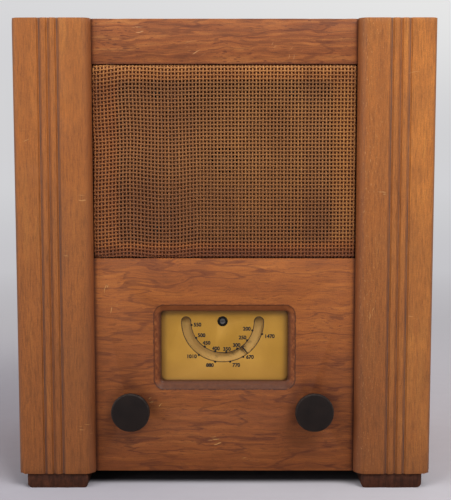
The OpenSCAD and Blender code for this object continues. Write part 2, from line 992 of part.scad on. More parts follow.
module drive_cord() {
    color([0.55, 0.45, 0.3])
        translate([works_x, 0, scale_z])
            upright(cord_y - cord_d / 2, cord_d)
                rotate(atan2(knob_z - scale_z, knob_x))
                    difference() {
                        cord_outline(cord_d / 2);
                        cord_outline(-cord_d / 2);
                    }
}

module drive_drum() {
    bore = spindle_r + screw_gap;
    color([0.8, 0.78, 0.74])
        difference() {
            turned(works_x, scale_z, drum_y)
                difference() {
                    union() {
                        band(bore, drum_hub_r, 0, drum_hub_l);
                        band(bore, drum_rim_r, (drum_t - drum_web_t) / 2, (drum_t + drum_web_t) / 2);
                        band(drum_rim_r - drum_rim_t, drum_rim_r, 0, drum_t);
                    }
                    band(drum_floor_r, drum_rim_r + 1, (drum_t - cord_groove_w) / 2,
                        (drum_t + cord_groove_w) / 2);
                }
            translate([works_x, drum_y + (drum_t + drum_hub_l) / 2, scale_z])
                cylinder(h = drum_hub_r + 1, r = grub_r + screw_gap);
        }
}

module drum_screw() {
    color([0.5, 0.48, 0.45])
        translate([works_x, drum_y + (drum_t + drum_hub_l) / 2, scale_z + spindle_r + screw_gap])
            cylinder(h = drum_grub_l, r = grub_r);
}

module pointer() {
    color([0.08, 0.07, 0.07])
        translate([works_x, 0, scale_z])
            upright(pointer_y, pointer_t)
                difference() {
                    union() {
                        circle(r = pointer_hub_r);
                        rotate(pointer_deg)
                            translate([-pointer_w / 2, -pointer_r])
                                square([pointer_w, pointer_r]);
                    }
                    circle(r = pivot_screw_r + screw_gap);
                }
}

module pointer_screw() {
    color([0.25, 0.24, 0.23])
        translate([works_x, pointer_y, scale_z])
            rotate([90, 0, 0])
                screw(pivot_head_r, pivot_head_h, pivot_screw_r, pivot_screw_l);
}

// Volume control

module volume_knob() {
    knob(volume_x);
}

module volume_knob_screw() {
    knob_screw(volume_x);
}

module volume_spindle() {
    color([0.75, 0.74, 0.72])
        bar(volume_x, knob_z, spindle_front, volume_spindle_back - spindle_front, spindle_r);
}

module volume_control() {
    volume_y = chassis_front + sheet_t;
    color([0.3, 0.22, 0.16])
        difference() {
            union() {
                bush_shape(volume_x, volume_r, volume_l);
                bar(volume_x, knob_z, volume_y + volume_l - 1, switch_l + 1, volume_r - switch_in);
                for (x = TERMINAL_X)
                    block([volume_x + x - terminal_w / 2, volume_y + terminal_d,
                        knob_z - volume_r - terminal_out],
                        [volume_x + x + terminal_w / 2, volume_y + terminal_d + terminal_t,
                        knob_z - volume_r + terminal_d]);
            }
            bar(volume_x, knob_z, chassis_front - bush_l - 1,
                volume_spindle_back + free_gap - chassis_front + bush_l + 1, spindle_r + running_gap);
        }
}

// Chassis

module chassis_frame() {
    wall_top = deck_z - sheet_t;
    color([0.68, 0.68, 0.66])
        difference() {
            union() {
                // front and back, each with a lip along its foot
                for (y = [[chassis_front, chassis_front], [chassis_back - sheet_t, chassis_back - lip_w]]) {
                    block([chassis_x0, y[0], base_top], [chassis_x1, y[0] + sheet_t, wall_top]);
                    block([chassis_x0, y[1], base_top], [chassis_x1, y[1] + lip_w, base_top + sheet_t]);
                }
                // end plates
                for (x = [chassis_x0, chassis_x1 - sheet_t])
                    block([x, chassis_front + sheet_t + seam_gap, base_top + sheet_t + seam_gap],
                        [x + sheet_t, chassis_back - sheet_t - seam_gap, wall_top]);
            }
            for (p = CHASSIS_BOLTS)
                translate([p[0], p[1], base_top - 1])
                    cylinder(h = sheet_t + 2, r = chassis_bolt_r + screw_gap);
            for (x = [tuning_x, volume_x])
                bar(x, knob_z, chassis_front - 1, sheet_t + 2, bush_r + screw_gap);
            for (x = SOCKET_X)
                bar(x, strip_z, chassis_back - 2 * sheet_t, 3 * sheet_t,
                    socket_outer_r + socket_clear);
            bar(inlet_x, inlet_z, chassis_back - 2 * sheet_t, 3 * sheet_t, inlet_hole_r + screw_gap);
        }
}

module chassis_deck() {
    color([0.7, 0.7, 0.68])
        difference() {
            block([chassis_x0, chassis_front, deck_z - sheet_t], [chassis_x1, chassis_back, deck_z]);
            for (v = VALVES)
                translate([v[0], v[1], deck_z - 2 * sheet_t])
                    cylinder(h = 3 * sheet_t, r = well_r + free_gap);
        }
}

// Tuning condenser

module condenser_frame() {
    x0 = works_x - condenser_w / 2;
    x1 = works_x + condenser_w / 2;
    mid_y = (condenser_y + condenser_back) / 2;
    color([0.72, 0.72, 0.7])
        difference() {
            union() {
                block([x0, condenser_y, condenser_z],
                    [x1, condenser_back, condenser_z + condenser_t]);
                for (y = [condenser_y, mid_y - condenser_t / 2, condenser_back - condenser_t])
                    block([x0, y, condenser_z], [x1, y + condenser_t, condenser_top]);
                for (x = [x0, x1 - leg_w], y = [condenser_y, condenser_back - leg_w])
                    block([x, y, deck_z], [x + leg_w, y + leg_w, condenser_z + condenser_t]);
                bar(works_x, scale_z, condenser_y - boss_l, boss_l + condenser_t, boss_r);
                bar(works_x, scale_z, condenser_back - condenser_t, boss_l + condenser_t, boss_r);
            }
            bar(works_x, scale_z, condenser_y - boss_l - 1, condenser_d + 2 * boss_l + 2,
                spindle_r + running_gap);
            bar(works_x, scale_z, condenser_y + condenser_t, condenser_d - 2 * condenser_t,
                rotor_hub_r + free_gap);
        }
}

// The middle of moving vane k, behind the front of its gang
function vane_d(k) = gang_l / 2 + (k - (vane_count - 1) / 2) * vane_pitch;

module condenser_stator() {
    color([0.8, 0.8, 0.78])
        for (gang = [0, 1])
            translate([works_x, condenser_y + gang * gang_l, scale_z]) {
                for (k = [0 : vane_count])
                    upright(vane_d(k - 0.5) - vane_t / 2, vane_t)
                        difference() {
                            translate([-stator_r, stator_set])
                                square([2 * stator_r, stator_r]);
                            circle(r = stator_bore_r);
                        }
                for (x = [-1, 1])
                    bar(x * stator_post_x, stator_post_z, gang == 0 ? condenser_t : condenser_t / 2,
                        gang_l - 1.5 * condenser_t, stator_post_r);
            }
}

module condenser_rotor() {
    shaft_y = pointer_y + pointer_t;
    color([0.85, 0.84, 0.8])
        difference() {
            union() {
                bar(works_x, scale_z, shaft_y, condenser_back + boss_l + 1 - shaft_y, spindle_r);
                for (gang = [0, 1])
                    translate([works_x, condenser_y + gang * gang_l, scale_z]) {
                        bar(0, 0, vane_d(0) - 1, vane_d(vane_count - 1) - vane_d(0) + 2, rotor_hub_r);
                        for (k = [0 : vane_count - 1])
                            upright(vane_d(k) - vane_t / 2, vane_t)
                                rotate(pointer_deg + 90)
                                    difference() {
                                        circle(r = rotor_r);
                                        translate([-rotor_r - 1, -rotor_r - 1])
                                            square([2 * rotor_r + 2, rotor_r + 1]);
                                    }
                    }
            }
            bar(works_x, scale_z, shaft_y - 1, pivot_screw_l + 1, pivot_screw_r + screw_gap);
        }
}

// Valves

module at_valve(v) {
    translate([v[0], v[1], deck_z])
        children();
}

module pin_ring(r) {
    for (a = [0 : 45 : 315])
        rotate(a)
            translate([pin_ring_r, 0])
                circle(r = r);
}

module valve_holders() {
    color([0.25, 0.18, 0.13])
        for (v = VALVES)
            at_valve(v)
                difference() {
                    union() {
                        cylinder(h = holder_t, r = base_r + 1);
                        translate([0, 0, -well_d])
                            cylinder(h = well_d + holder_t, r = well_r);
                    }
                    translate([0, 0, -well_d - 1])
                        linear_extrude(well_d + holder_t + 2) {
                            circle(r = spigot_r + screw_gap);
                            pin_ring(pin_r + screw_gap);
                        }
                }
}

module valve_bases() {
    color([0.2, 0.14, 0.1])
        for (v = VALVES)
            at_valve(v)
                translate([0, 0, holder_t]) {
                    rotate_extrude()
                        difference() {
                            band(0, base_r, 0, base_h);
                            band(0, neck_r - 2, base_floor, base_h + 1);
                            band(0, neck_r + screw_gap, base_h - neck_sunk, base_h + 1);
                        }
                    translate([0, 0, -pin_l])
                        linear_extrude(pin_l + 1) {
                            circle(r = spigot_r);
                            pin_ring(pin_r);
                        }
                }
}

// Half of a valve's outline, drawn t inside the glass's outer face
module bulb_outline(h, t) {
    band(0, neck_r - t, 0, neck_h + 2 * t);
    band(0, bulb_r - t, neck_h + t, neck_h + h);
    intersection() {
        translate([0, neck_h + h])
            circle(r = bulb_r - t);
        band(0, bulb_r, neck_h + h - 0.1, neck_h + h + bulb_r);
    }
}

module valve_envelopes() {
    color([0.8, 0.85, 0.85, 0.4])
        for (v = VALVES)
            at_valve(v)
                translate([0, 0, holder_t + base_h - neck_sunk])
                    rotate_extrude()
                        difference() {
                            bulb_outline(v[2], 0);
                            bulb_outline(v[2], glass_t);
                        }
}

module valve_electrodes() {
    stem_h = base_h + stem_rise;
    color([0.4, 0.4, 0.42])
        for (v = VALVES)
            at_valve(v)
                translate([0, 0, holder_t + base_floor])
                    rotate_extrude() {
                        band(0, stem_r, 0, stem_h + 1);
                        band(0, anode_r, stem_h, stem_h + v[2] - anode_drop);
                        for (d = [0, v[2] - anode_drop])
                            band(0, mica_r, stem_h + d, stem_h + d + mica_t);
                    }
}

// Transformers: limbs a sixth of the core's width, as such laminations are cut

module transformer_core(x, y, w, t) {
    limb = w / 6;
    translate([x, 0, deck_z])
        upright(y - t / 2, t)
            difference() {
                translate([-w / 2, 0])
                    square([w, 5 * limb]);
                for (side = [-2, 1])
                    translate([side * limb, limb])
                        square([limb, 3 * limb]);
            }
}

module transformer_coil(x, y, w, t) {
    limb = w / 6;
    difference() {
        block([x - 2 * limb + winding_gap, y - t / 2 - limb + 1, deck_z + limb + winding_gap],
            [x + 2 * limb - winding_gap, y + t / 2 + limb - 1, deck_z + 4 * limb - winding_gap]);
        block([x - limb - winding_gap, y - t / 2 - winding_gap, deck_z],
            [x + limb + winding_gap, y + t / 2 + winding_gap, deck_z + 5 * limb]);
    }
}

module mains_core() {
    color([0.3, 0.3, 0.32])
        transformer_core(mains_x, mains_y, mains_core_w, mains_core_t);
}

module mains_coil() {
    color([0.55, 0.42, 0.25])
        transformer_coil(mains_x, mains_y, mains_core_w, mains_core_t);
}

module output_transformer() {
    color([0.3, 0.3, 0.32])
        transformer_core(output_x, output_y, output_core_w, output_core_t);
    color([0.55, 0.42, 0.25])
        transformer_coil(output_x, output_y, output_core_w, output_core_t);
}

// Cans on the deck

module coil_cans() {
    color([0.78, 0.78, 0.76])
        for (c = CANS)
            translate([c[0], c[1], deck_z]) {
                difference() {
                    linear_extrude(can_h)
                        rounded_rect(can_w, can_w, can_corner_r);
                    translate([0, 0, -1])
                        linear_extrude(can_h - can_t + 1)
                            rounded_rect(can_w - 2 * can_t, can_w - 2 * can_t, can_corner_r - can_t);
                }
                cylinder(h = can_h - former_drop, r = former_r);
                for (z = WINDING_Z)
                    translate([0, 0, z])
                        difference() {
                            cylinder(h = winding_h, r = winding_r);
                            translate([0, 0, -1])
                                cylinder(h = winding_h + 2, r = former_r + screw_gap);
                        }
            }
}

module smoothing_can() {
    color([0.76, 0.76, 0.74])
        translate([smoothing_x, smoothing_y, deck_z]) {
            cylinder(h = smoothing_h, r = smoothing_r);
            cylinder(h = smoothing_base_h, r = smoothing_base_r);
            translate([0, 0, bead_z])
                cylinder(h = bead_h, r = bead_r);
        }
}

// Under the deck

module tag_board() {
    color([0.5, 0.33, 0.18]) {
        block([works_x - tag_w / 2, tag_y - tag_d / 2, tag_z - tag_t],
            [works_x + tag_w / 2, tag_y + tag_d / 2, tag_z]);
        for (x = [-1, 1], y = [-1, 1])
            translate([works_x + x * (tag_w / 2 - tag_post_in), tag_y + y * (tag_d / 2 - tag_post_in),
                tag_z - tag_t])
                cylinder(h = deck_z - sheet_t - tag_z + tag_t, r = tag_post_r);
    }
}

// A wired part that hangs under the tag board on its two leads
module wired_part(x, r, l) {
    translate([works_x + x, tag_y, tag_z - tag_t - r - lead_gap])
        for (side = [0, 1])
            mirror([0, side, 0]) {
                rotate([-90, 0, 0])
                    cylinder(h = l / 2, r = r);
                rotate([-90, 0, 0])
                    cylinder(h = l / 2 + lead_l, r = lead_r);
                translate([0, l / 2 + lead_l, 0])
                    cylinder(h = r + lead_gap, r = lead_r);
            }
}

module resistors() {
    color([0.55, 0.35, 0.2])
        for (x = RESISTOR_X)
            wired_part(x, resistor_r, resistor_l);
}

module paper_capacitors() {
    color([0.72, 0.62, 0.4])
        for (x = CAPACITOR_X)
            wired_part(x, capacitor_r, capacitor_l);
}

// Sockets and mains inlet

module socket_strips() {
    color([0.32, 0.2, 0.12])
        difference() {
            for (x = STRIP_X)
                block([x - strip_w / 2, chassis_back, strip_z - strip_h / 2],
                    [x + strip_w / 2, chassis_back + strip_t, strip_z + strip_h / 2]);
            for (x = SOCKET_X)
                bar(x, strip_z, chassis_back - 1, strip_t + 2, socket_outer_r + screw_gap);
        }
}

module sockets() {
    rear_d = strip_t + socket_proud;
    color([0.8, 0.64, 0.32])
        for (x = SOCKET_X)
            turned(x, strip_z, chassis_back)
                difference() {
                    union() {
                        band(0, socket_outer_r, rear_d - socket_l, rear_d);
                        band(0, socket_flange_r, strip_t, strip_t + socket_flange_t);
                    }
                    band(0, socket_r, rear_d - socket_l - 1, rear_d + 1);
                }
}

module mains_grommet() {
    color([0.12, 0.11, 0.11])
        turned(inlet_x, inlet_z, chassis_back)
            difference() {
                union() {
                    band(0, inlet_hole_r, -sheet_t - 1, 1);
                    band(0, inlet_flange_r, 0, inlet_flange_t);
                    band(0, inlet_flange_r, -sheet_t - inlet_flange_t, -sheet_t);
                }
                band(0, grommet_r, -10, 10);
            }
}

// Loudspeaker

module speaker_frame() {
    floor_d = basket_d - basket_t;
    color([0.3, 0.3, 0.31])
        difference() {
            turned(0, speaker_z, baffle_back)
                polygon([[rim_inner_r, 0], [speaker_r, 0], [speaker_r, rim_t],
                    [rim_inner_r + basket_t, rim_t], [rim_inner_r + basket_t, skirt_d],
                    [magnet_r + 2, basket_d], [throat_r, basket_d], [throat_r, floor_d],
                    [magnet_r, floor_d], [rim_inner_r, skirt_d]]);
            for (a = [0 : 60 : 300])
                translate([0, baffle_back + skirt_d + frame_window_d, speaker_z])
                    rotate([0, a, 0])
                        translate([magnet_r + frame_window_in, 0, -frame_window_w / 2])
                            cube([rim_inner_r - magnet_r - 2 * frame_window_in,
                                basket_d - skirt_d - frame_window_d - frame_window_end, frame_window_w]);
            for (p = SPEAKER_BOLTS)
                bar(p[0], p[1], baffle_back - 1, rim_t + 2, bolt_r + screw_gap);
        }
}

module speaker_magnet() {
    color([0.35, 0.35, 0.36])
        turned(0, speaker_z, baffle_back + basket_d)
            difference() {
                band(0, magnet_r, 0, magnet_l);
                band(pole_r, magnet_gap_r, -1, magnet_gap_d);
            }
}

module speaker_spider() {
    color([0.7, 0.6, 0.42])
        turned(0, speaker_z, baffle_back + basket_d - basket_t - spider_t)
            band(coil_r + coil_t + free_gap, magnet_r - 4, 0, spider_t);
}

module speaker_cone() {
    color([0.2, 0.18, 0.17])
        turned(0, speaker_z, baffle_back) {
            polygon([[cone_r, cone_front_d], [cone_r, cone_front_d + cone_t],
                [coil_r + coil_t, cone_back_d + cone_t], [coil_r, cone_back_d]]);
            band(coil_r, coil_r + coil_t, cone_back_d, coil_d);
            band(0, coil_r + coil_t, cone_back_d, cone_back_d + cone_t);
        }
}

module speaker_bolts() {
    color([0.6, 0.58, 0.55])
        for (p = SPEAKER_BOLTS) {
            translate([p[0], inner_y, p[1]])
                rotate([90, 0, 0])
                    screw(bolt_head_r, bolt_head_h, bolt_r, baffle_t + rim_t + speaker_nut_t + 1);
            nut(p[0], p[1], baffle_back + rim_t, speaker_nut_r, speaker_nut_t, bolt_r + screw_gap);
        }
}

side_left();
side_right();
top_board();
base_board();
pilaster_left();
pilaster_right();
top_rail();
front_panel();
battens();
feet();
back_cover();
back_screws();
wood_screws();
speaker_board();
speaker_cloth();
speaker_baffle();
dial_plate();
dial_backing();
dial_spacers();
dial_lamp();
tuning_knob();
tuning_knob_screw();
tuning_spindle();
tuning_bush();
drive_cord();
drive_drum();
drum_screw();
pointer();
pointer_screw();
volume_knob();
volume_knob_screw();
volume_spindle();
volume_control();
bush_nuts();
chassis_frame();
chassis_deck();
chassis_bolts();
condenser_frame();
condenser_stator();
condenser_rotor();
valve_holders();
valve_bases();
valve_envelopes();
valve_electrodes();
mains_core();
mains_coil();
output_transformer();
coil_cans();
smoothing_can();
tag_board();
resistors();
paper_capacitors();
socket_strips();
sockets();
mains_grommet();
speaker_frame();
speaker_magnet();
speaker_spider();
speaker_cone();
speaker_bolts();
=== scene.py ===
import json
import math

import bmesh
import bpy
from mathutils import Matrix, Vector, noise


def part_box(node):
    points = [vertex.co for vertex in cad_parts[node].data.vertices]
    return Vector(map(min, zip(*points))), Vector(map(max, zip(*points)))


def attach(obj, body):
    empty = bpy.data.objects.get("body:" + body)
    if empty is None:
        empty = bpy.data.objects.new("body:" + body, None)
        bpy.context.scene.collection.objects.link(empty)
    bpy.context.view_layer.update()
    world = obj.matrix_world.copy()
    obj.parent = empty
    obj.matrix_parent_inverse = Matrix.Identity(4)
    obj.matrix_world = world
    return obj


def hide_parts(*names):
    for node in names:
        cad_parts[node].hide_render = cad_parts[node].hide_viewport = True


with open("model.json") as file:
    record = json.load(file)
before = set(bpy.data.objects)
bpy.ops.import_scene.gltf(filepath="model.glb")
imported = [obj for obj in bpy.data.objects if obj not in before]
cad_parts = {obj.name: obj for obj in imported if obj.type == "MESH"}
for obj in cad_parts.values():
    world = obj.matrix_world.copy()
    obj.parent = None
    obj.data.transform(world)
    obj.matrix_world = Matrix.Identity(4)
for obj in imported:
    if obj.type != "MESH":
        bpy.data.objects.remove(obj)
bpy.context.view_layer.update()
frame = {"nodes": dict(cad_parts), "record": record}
mm = 0.001
quarter = math.pi / 2
speakerZ = 242.25
nodeBody = {n: body for body, nodes in frame["record"]["behaviour"]["bodies"].items() for n in nodes}
print("frame loaded:", len(frame["nodes"]), "nodes")


# Small helpers for node trees

class Wire:  # an output of a node, which can be reckoned with
    def __init__(self, socket):
        self.socket, self.tree = socket, socket.id_data

    def __add__(self, other):
        return calc("ADD", self, other)

    def __sub__(self, other):
        return calc("SUBTRACT", self, other)

    def __mul__(self, other):
        return calc("MULTIPLY", self, other)

    def __truediv__(self, other):
        return calc("DIVIDE", self, other)

    def __abs__(self):
        return calc("ABSOLUTE", self)


def put(where, kind, inputs=None, **settings):
    node = getattr(where, "tree", where).nodes.new(kind)
    for name, value in settings.items():
        setattr(node, name, value)
    for name, value in (inputs or {}).items():
        if isinstance(value, Wire):
            value.tree.links.new(value.socket, node.inputs[name])
        else:
            node.inputs[name].default_value = value
    return node


def wired(where, kind, inputs=None, take=0, **settings):
    return Wire(put(where, kind, inputs, **settings).outputs[take])


def geo(where, kind, inputs=None, take=0, **settings):
    return wired(where, "GeometryNode" + kind, inputs, take, **settings)


def among(values):  # any wire among some values tells which tree it is
    return next(v for v in values if isinstance(v, Wire))


def calc(operation, *values):
    return wired(among(values), "ShaderNodeMath", dict(enumerate(values)), operation=operation)


def vector(x=0.0, y=0.0, z=0.0):
    return wired(among((x, y, z)), "ShaderNodeCombineXYZ", {0: x, 1: y, 2: z})


def reckon(operation, first, second=None, take=0):
    inputs = {0: first} if second is None else {0: first, 1: second}
    return wired(among((first, second)), "ShaderNodeVectorMath", inputs, take, operation=operation)


def split(place):
    return [Wire(socket) for socket in put(place, "ShaderNodeSeparateXYZ", {0: place}).outputs]


def tone(red, green, blue):  # a colour as a screen shows it, 0 to 255
    parts = [c / 255 for c in (red, green, blue)]
    return tuple(c / 12.92 if c <= 0.04045 else ((c + 0.055) / 1.055) ** 2.4 for c in parts) + (1.0,)


def colourOf(value):  # three numbers are a tone, and one is a grey
    if isinstance(value, tuple):
        return tone(*value) if len(value) == 3 else value
    return value if isinstance(value, Wire) else (value, value, value, 1.0)


def ramp(factor, *stops, interpolation="LINEAR"):
    node = put(factor, "ShaderNodeValToRGB", {"Fac": factor})
    node.color_ramp.interpolation = interpolation
    elements = node.color_ramp.elements
    elements.remove(elements[1])
    for k, (place, colour) in enumerate(stops):
        element = elements[0] if k == 0 else elements.new(place)
        element.position = place
        element.color = colourOf(colour)
    return Wire(node.outputs[0])


def mixed(factor, first, second, mode="MIX"):
    inputs = {0: factor, 6: colourOf(first), 7: colourOf(second)}
    return wired(among(inputs.values()), "ShaderNodeMix", inputs, 2, data_type="RGBA", blend_type=mode)


def tinted(colour, tint, share=1.0):
    return mixed(share, colour, tint, "MULTIPLY")


def layers(colour, *coats):  # coats of a share and a tone, one over the other
    for share, coat in coats:
        colour = mixed(share, colour, coat)
    return colour


def span(value, low, high, first=0.0, last=1.0):  # a smooth step between two values
    inputs = {"Value": value, "From Min": low, "From Max": high, "To Min": first, "To Max": last}
    return wired(value, "ShaderNodeMapRange", inputs, interpolation_type="SMOOTHSTEP")


def spanMm(value, low, high, first=0.0, last=1.0):  # the same between two places in mm
    return span(value, low * mm, high * mm, first, last)


def fade(colour, value, low, high, first, last):  # a soft gradient laid over a colour, low to high in mm
    return tinted(colour, ramp(spanMm(value, low, high), (0.0, (*first, 1.0)), (1.0, (*last, 1.0))))


def near(value, place, reach, soft):  # 1 close to a place, 0 beyond reach + soft, in mm
    return spanMm(abs(value - place * mm), reach + soft, reach)


def placed(place, shift=(0, 0, 0), turn=(0, 0, 0), stretch=(1, 1, 1)):
    inputs = {"Vector": place, "Location": shift, "Rotation": turn, "Scale": stretch}
    return wired(place, "ShaderNodeMapping", inputs)


def length(place):
    return reckon("LENGTH", place, take="Value")


def flatFrom(coord, x, z):  # in the front's plane, as seen from a place in mm
    return placed(coord, shift=(-x * mm, 0, -z * mm), stretch=(1, 0, 1))


def grainy(place, size, detail=2.0, rough=0.5, warp=0.0):  # noise with spots about size mm
    inputs = {"Vector": place, "Scale": 1 / (size * mm), "Detail": detail, "Roughness": rough,
              "Distortion": warp}
    return wired(place, "ShaderNodeTexNoise", inputs)


def newMaterial(name):
    material = bpy.data.materials.new(name)
    material.use_nodes = True
    tree = material.node_tree
    tree.nodes.clear()
    shader = put(tree, "ShaderNodeBsdfPrincipled")
    put(tree, "ShaderNodeOutputMaterial", {"Surface": Wire(shader.outputs[0])})
    return material, shader, wired(tree, "ShaderNodeTexCoord", take="Object")


def dress(shader, colour, rough, height, depth, **fixed):
    bump = wired(colour, "ShaderNodeBump", {"Height": height, "Distance": depth * mm, "Strength": 0.8})
    for name, value in (("Base Color", colour), ("Roughness", rough), ("Normal", bump)):
        value.tree.links.new(value.socket, shader.inputs[name])
    for name, value in fixed.items():
        shader.inputs[name.replace("_", " ")].default_value = value


# A finish of blotches and fine grit, for metal, card, plastic and paint
def plain(dark, light, size, grit, rough, depth, stain=None, **more):
    return {"dark": dark, "light": light, "size": size, "grit": grit, "rough": rough, "depth": depth,
            "stain": stain, **more}


def plainMaterial(name, look, extra=None):
    material, shader, coord = newMaterial(name)
    share = look.get("share", 0.5)
    broad = grainy(coord, look["size"], 3.0, 0.55)
    grit = grainy(placed(coord, stretch=look.get("stretch", (1, 1, 1))), look["grit"], 3.0, 0.6)
    both = broad * (1 - share) + grit * share
    colour = ramp(both, (0.34, look["dark"]), (0.66, look["light"]))
    if look["stain"]:
        stain, size, amount = look["stain"]
        colour = mixed(span(grainy(coord, size, 4.0, 0.65), 0.62, 0.74, 0.0, amount), colour, stain)
    rough = span(both, 0.3, 0.7, *look["rough"])
    if extra:
        colour = extra(coord, colour)
    dress(shader, colour, rough, grit, look["depth"], Metallic=look.get("metal", 0.0),
          **look.get("fixed", {}))
    return material


# Small helpers for meshes

def newObject(name, data):
    made = bpy.data.objects.new(name, data)
    bpy.context.scene.collection.objects.link(made)
    return made


def frozen(carrier):  # the mesh that an object's curve or tree makes
    ready = carrier.evaluated_get(bpy.context.evaluated_depsgraph_get())
    mesh = bpy.data.meshes.new_from_object(ready)
    bpy.data.objects.remove(carrier)
    return mesh


def cadCopy(node, flat=0.6):
    bm = bmesh.new()
    bm.from_mesh(frame["nodes"][node].data)
    bmesh.ops.remove_doubles(bm, verts=bm.verts, dist=0.002 * mm)
    bmesh.ops.dissolve_limit(bm, angle_limit=math.radians(flat), verts=bm.verts, edges=bm.edges)
    return bm


def bevel(bm, edges, size, segments=2, **more):
    bmesh.ops.bevel(bm, geom=edges, offset=size * mm, segments=segments, profile=0.5, affect="EDGES", **more)


def roundEdges(bm, size, segments=2, sharp=30, keep=None):
    edges = [e for e in bm.edges if len(e.link_faces) == 2 and e.calc_face_angle(0) > math.radians(sharp)]
    if keep:
        edges = [e for e in edges if keep((e.verts[0].co + e.verts[1].co) / 2)]
    bevel(bm, edges, size, segments, clamp_overlap=True)


def sliceAlong(bm, axis, step):
    places = [v.co[axis] for v in bm.verts]
    low, high = min(places), max(places)
    normal = Vector((0, 0, 0))
    normal[axis] = 1
    count = round((high - low) / (step * mm))
    for k in range(1, count):
        point = normal * (low + (high - low) * k / count)
        geometry = bm.verts[:] + bm.edges[:] + bm.faces[:]
        bmesh.ops.bisect_plane(bm, geom=geometry, plane_co=point, plane_no=normal, dist=0.001 * mm)


# Rubs the edges down by up to amount mm, in patches about size mm long
def wearEdges(bm, amount, size, seed, sharp=9):
    bm.normal_update()
    shift = Vector((seed * 7.3, seed * 3.1, seed * 5.7))
    moves = []
    for v in bm.verts:
        turn = max((e.calc_face_angle(0) for e in v.link_edges if len(e.link_faces) == 2), default=0)
        if turn > math.radians(sharp):
            wave = noise.noise(v.co / (size * mm) + shift)
            wave += 0.5 * noise.noise(v.co / (size * 0.3 * mm) + shift)
            moves.append((v, v.normal * -max(0.0, wave) * amount * mm))
    for v, move in moves:
        v.co += move


# Knocks out of a corner: each is a place, a reach and a depth in mm
def chip(bm, chips):
    for x, y, z, reach, depth in chips:
        middle = Vector((x, y, z)) * mm
        for v in bm.verts:
            gap = (v.co - middle).length
            if gap < reach * mm:
                inward = (Vector((x * 0.7, y * 0.7, 175)) * mm - v.co).normalized()
                rough = 0.7 + 0.5 * noise.noise(v.co / (1.3 * mm))
                v.co += inward * (1 - gap / (reach * mm)) * depth * mm * rough


def toMesh(bm):
    mesh = bpy.data.meshes.new("made")
    bm.to_mesh(mesh)
    bm.free()
    return mesh


# Makes the finished object, riding on its node's body and standing for the nodes
def settle(name, mesh, material, *nodes, body=None, slot=None, smooth=32, flat=300):
    mesh.name = name
    if mesh.has_custom_normals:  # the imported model's, which no longer fit the new faces
        mesh.attributes.remove(mesh.attributes["custom_normal"])
    if material is not None:
        mesh.materials.clear()
        for item in material if isinstance(material, list) else [material]:
            mesh.materials.append(item)
    # wide flat faces keep their own normal, or a rounded edge would bend the light over them
    mesh.polygons.foreach_set("use_smooth", [face.area < flat * mm * mm for face in mesh.polygons])
    mesh.set_sharp_from_angle(angle=math.radians(smooth))
    mesh.update()
    piece = newObject(name, mesh)
    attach(piece, body or nodeBody[nodes[0]])
    if nodes:
        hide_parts(*nodes)
    return piece


def rounded(node, name, edge, material, segments=2, sharp=30, **more):
    bm = cadCopy(node)
    roundEdges(bm, edge, segments, sharp)
    settle(name, toMesh(bm), material, node, **more)


# Turns a profile of (radius, distance) in mm about a line along an axis through the centre
def lathe(bm, profile, centre, axis="y", steps=64, closed=False):
    rings = []
    cx, cy, cz = centre
    for r, d in profile:
        ring = []
        for k in range(1 if r == 0 else steps):
            a = 2 * math.pi * k / steps
            u, v = r * math.cos(a), r * math.sin(a)
            place = (cx + u, cy + d, cz + v) if axis == "y" else (cx + u, cy + v, cz + d)
            ring.append(bm.verts.new(Vector(place) * mm))
        rings.append(ring)
    pairs = list(zip(rings, rings[1:])) + ([(rings[-1], rings[0])] if closed else [])
    made = []
    for one, two in pairs:
        for k in range(steps):
            corners = [one[k % len(one)], one[(k + 1) % len(one)], two[(k + 1) % len(two)], two[k % len(two)]]
            corners = [c for i, c in enumerate(corners) if c not in corners[:i]]
            if len(corners) > 2:
                made.append(bm.faces.new(corners))
    bmesh.ops.recalc_face_normals(bm, faces=made)
    return made


def boxInto(bm, low, high):
    verts = [bm.verts.new(Vector((x, y, z)) * mm) for x in (low[0], high[0]) for y in (low[1], high[1])
             for z in (low[2], high[2])]
    for corners in ((0, 1, 3, 2), (4, 6, 7, 5), (0, 4, 5, 1), (2, 3, 7, 6), (0, 2, 6, 4), (1, 5, 7, 3)):
        bm.faces.new([verts[k] for k in corners])


def mark(faces, index):
    for face in faces:
        face.material_index = index


def polyline(points, closed):
    mesh = bpy.data.meshes.new("path")
    count = len(points)
    edges = [(k, (k + 1) % count) for k in range(count if closed else count - 1)]
    mesh.from_pydata([Vector(p) * mm for p in points], edges, [])
    return mesh


# Helpers for Geometry Nodes

socketKinds = {int: "NodeSocketInt", float: "NodeSocketFloat", str: "NodeSocketMaterial"}


def newTree(name, sizes):  # the tree's named inputs, as wires
    tree = bpy.data.node_groups.new(name, "GeometryNodeTree")
    tree.interface.new_socket("Geometry", in_out="INPUT", socket_type="NodeSocketGeometry")
    for label, value in sizes.items():
        socket = tree.interface.new_socket(label, in_out="INPUT", socket_type=socketKinds[type(value)])
        if not isinstance(value, str):
            socket.default_value = value
    tree.interface.new_socket("Geometry", in_out="OUTPUT", socket_type="NodeSocketGeometry")
    outputs = tree.nodes.new("NodeGroupInput").outputs
    return {label: Wire(outputs[label]) for label in ("Geometry", *sizes)}


def closeTree(geometry, size):
    real = geo(geometry, "RealizeInstances", {0: geometry})
    coated = geo(real, "SetMaterial", {"Geometry": real, "Material": size["Material"]})
    put(real, "NodeGroupOutput", {0: coated})
    return real.tree


def grow(tree, start, values):
    carrier = newObject("carrier", start)
    modifier = carrier.modifiers.new("shape", "NODES")
    modifier.node_group = tree
    for item in tree.interface.items_tree:
        if item.item_type == "SOCKET" and item.in_out == "INPUT" and item.name in values:
            modifier[item.identifier] = values[item.name]
    return frozen(carrier)


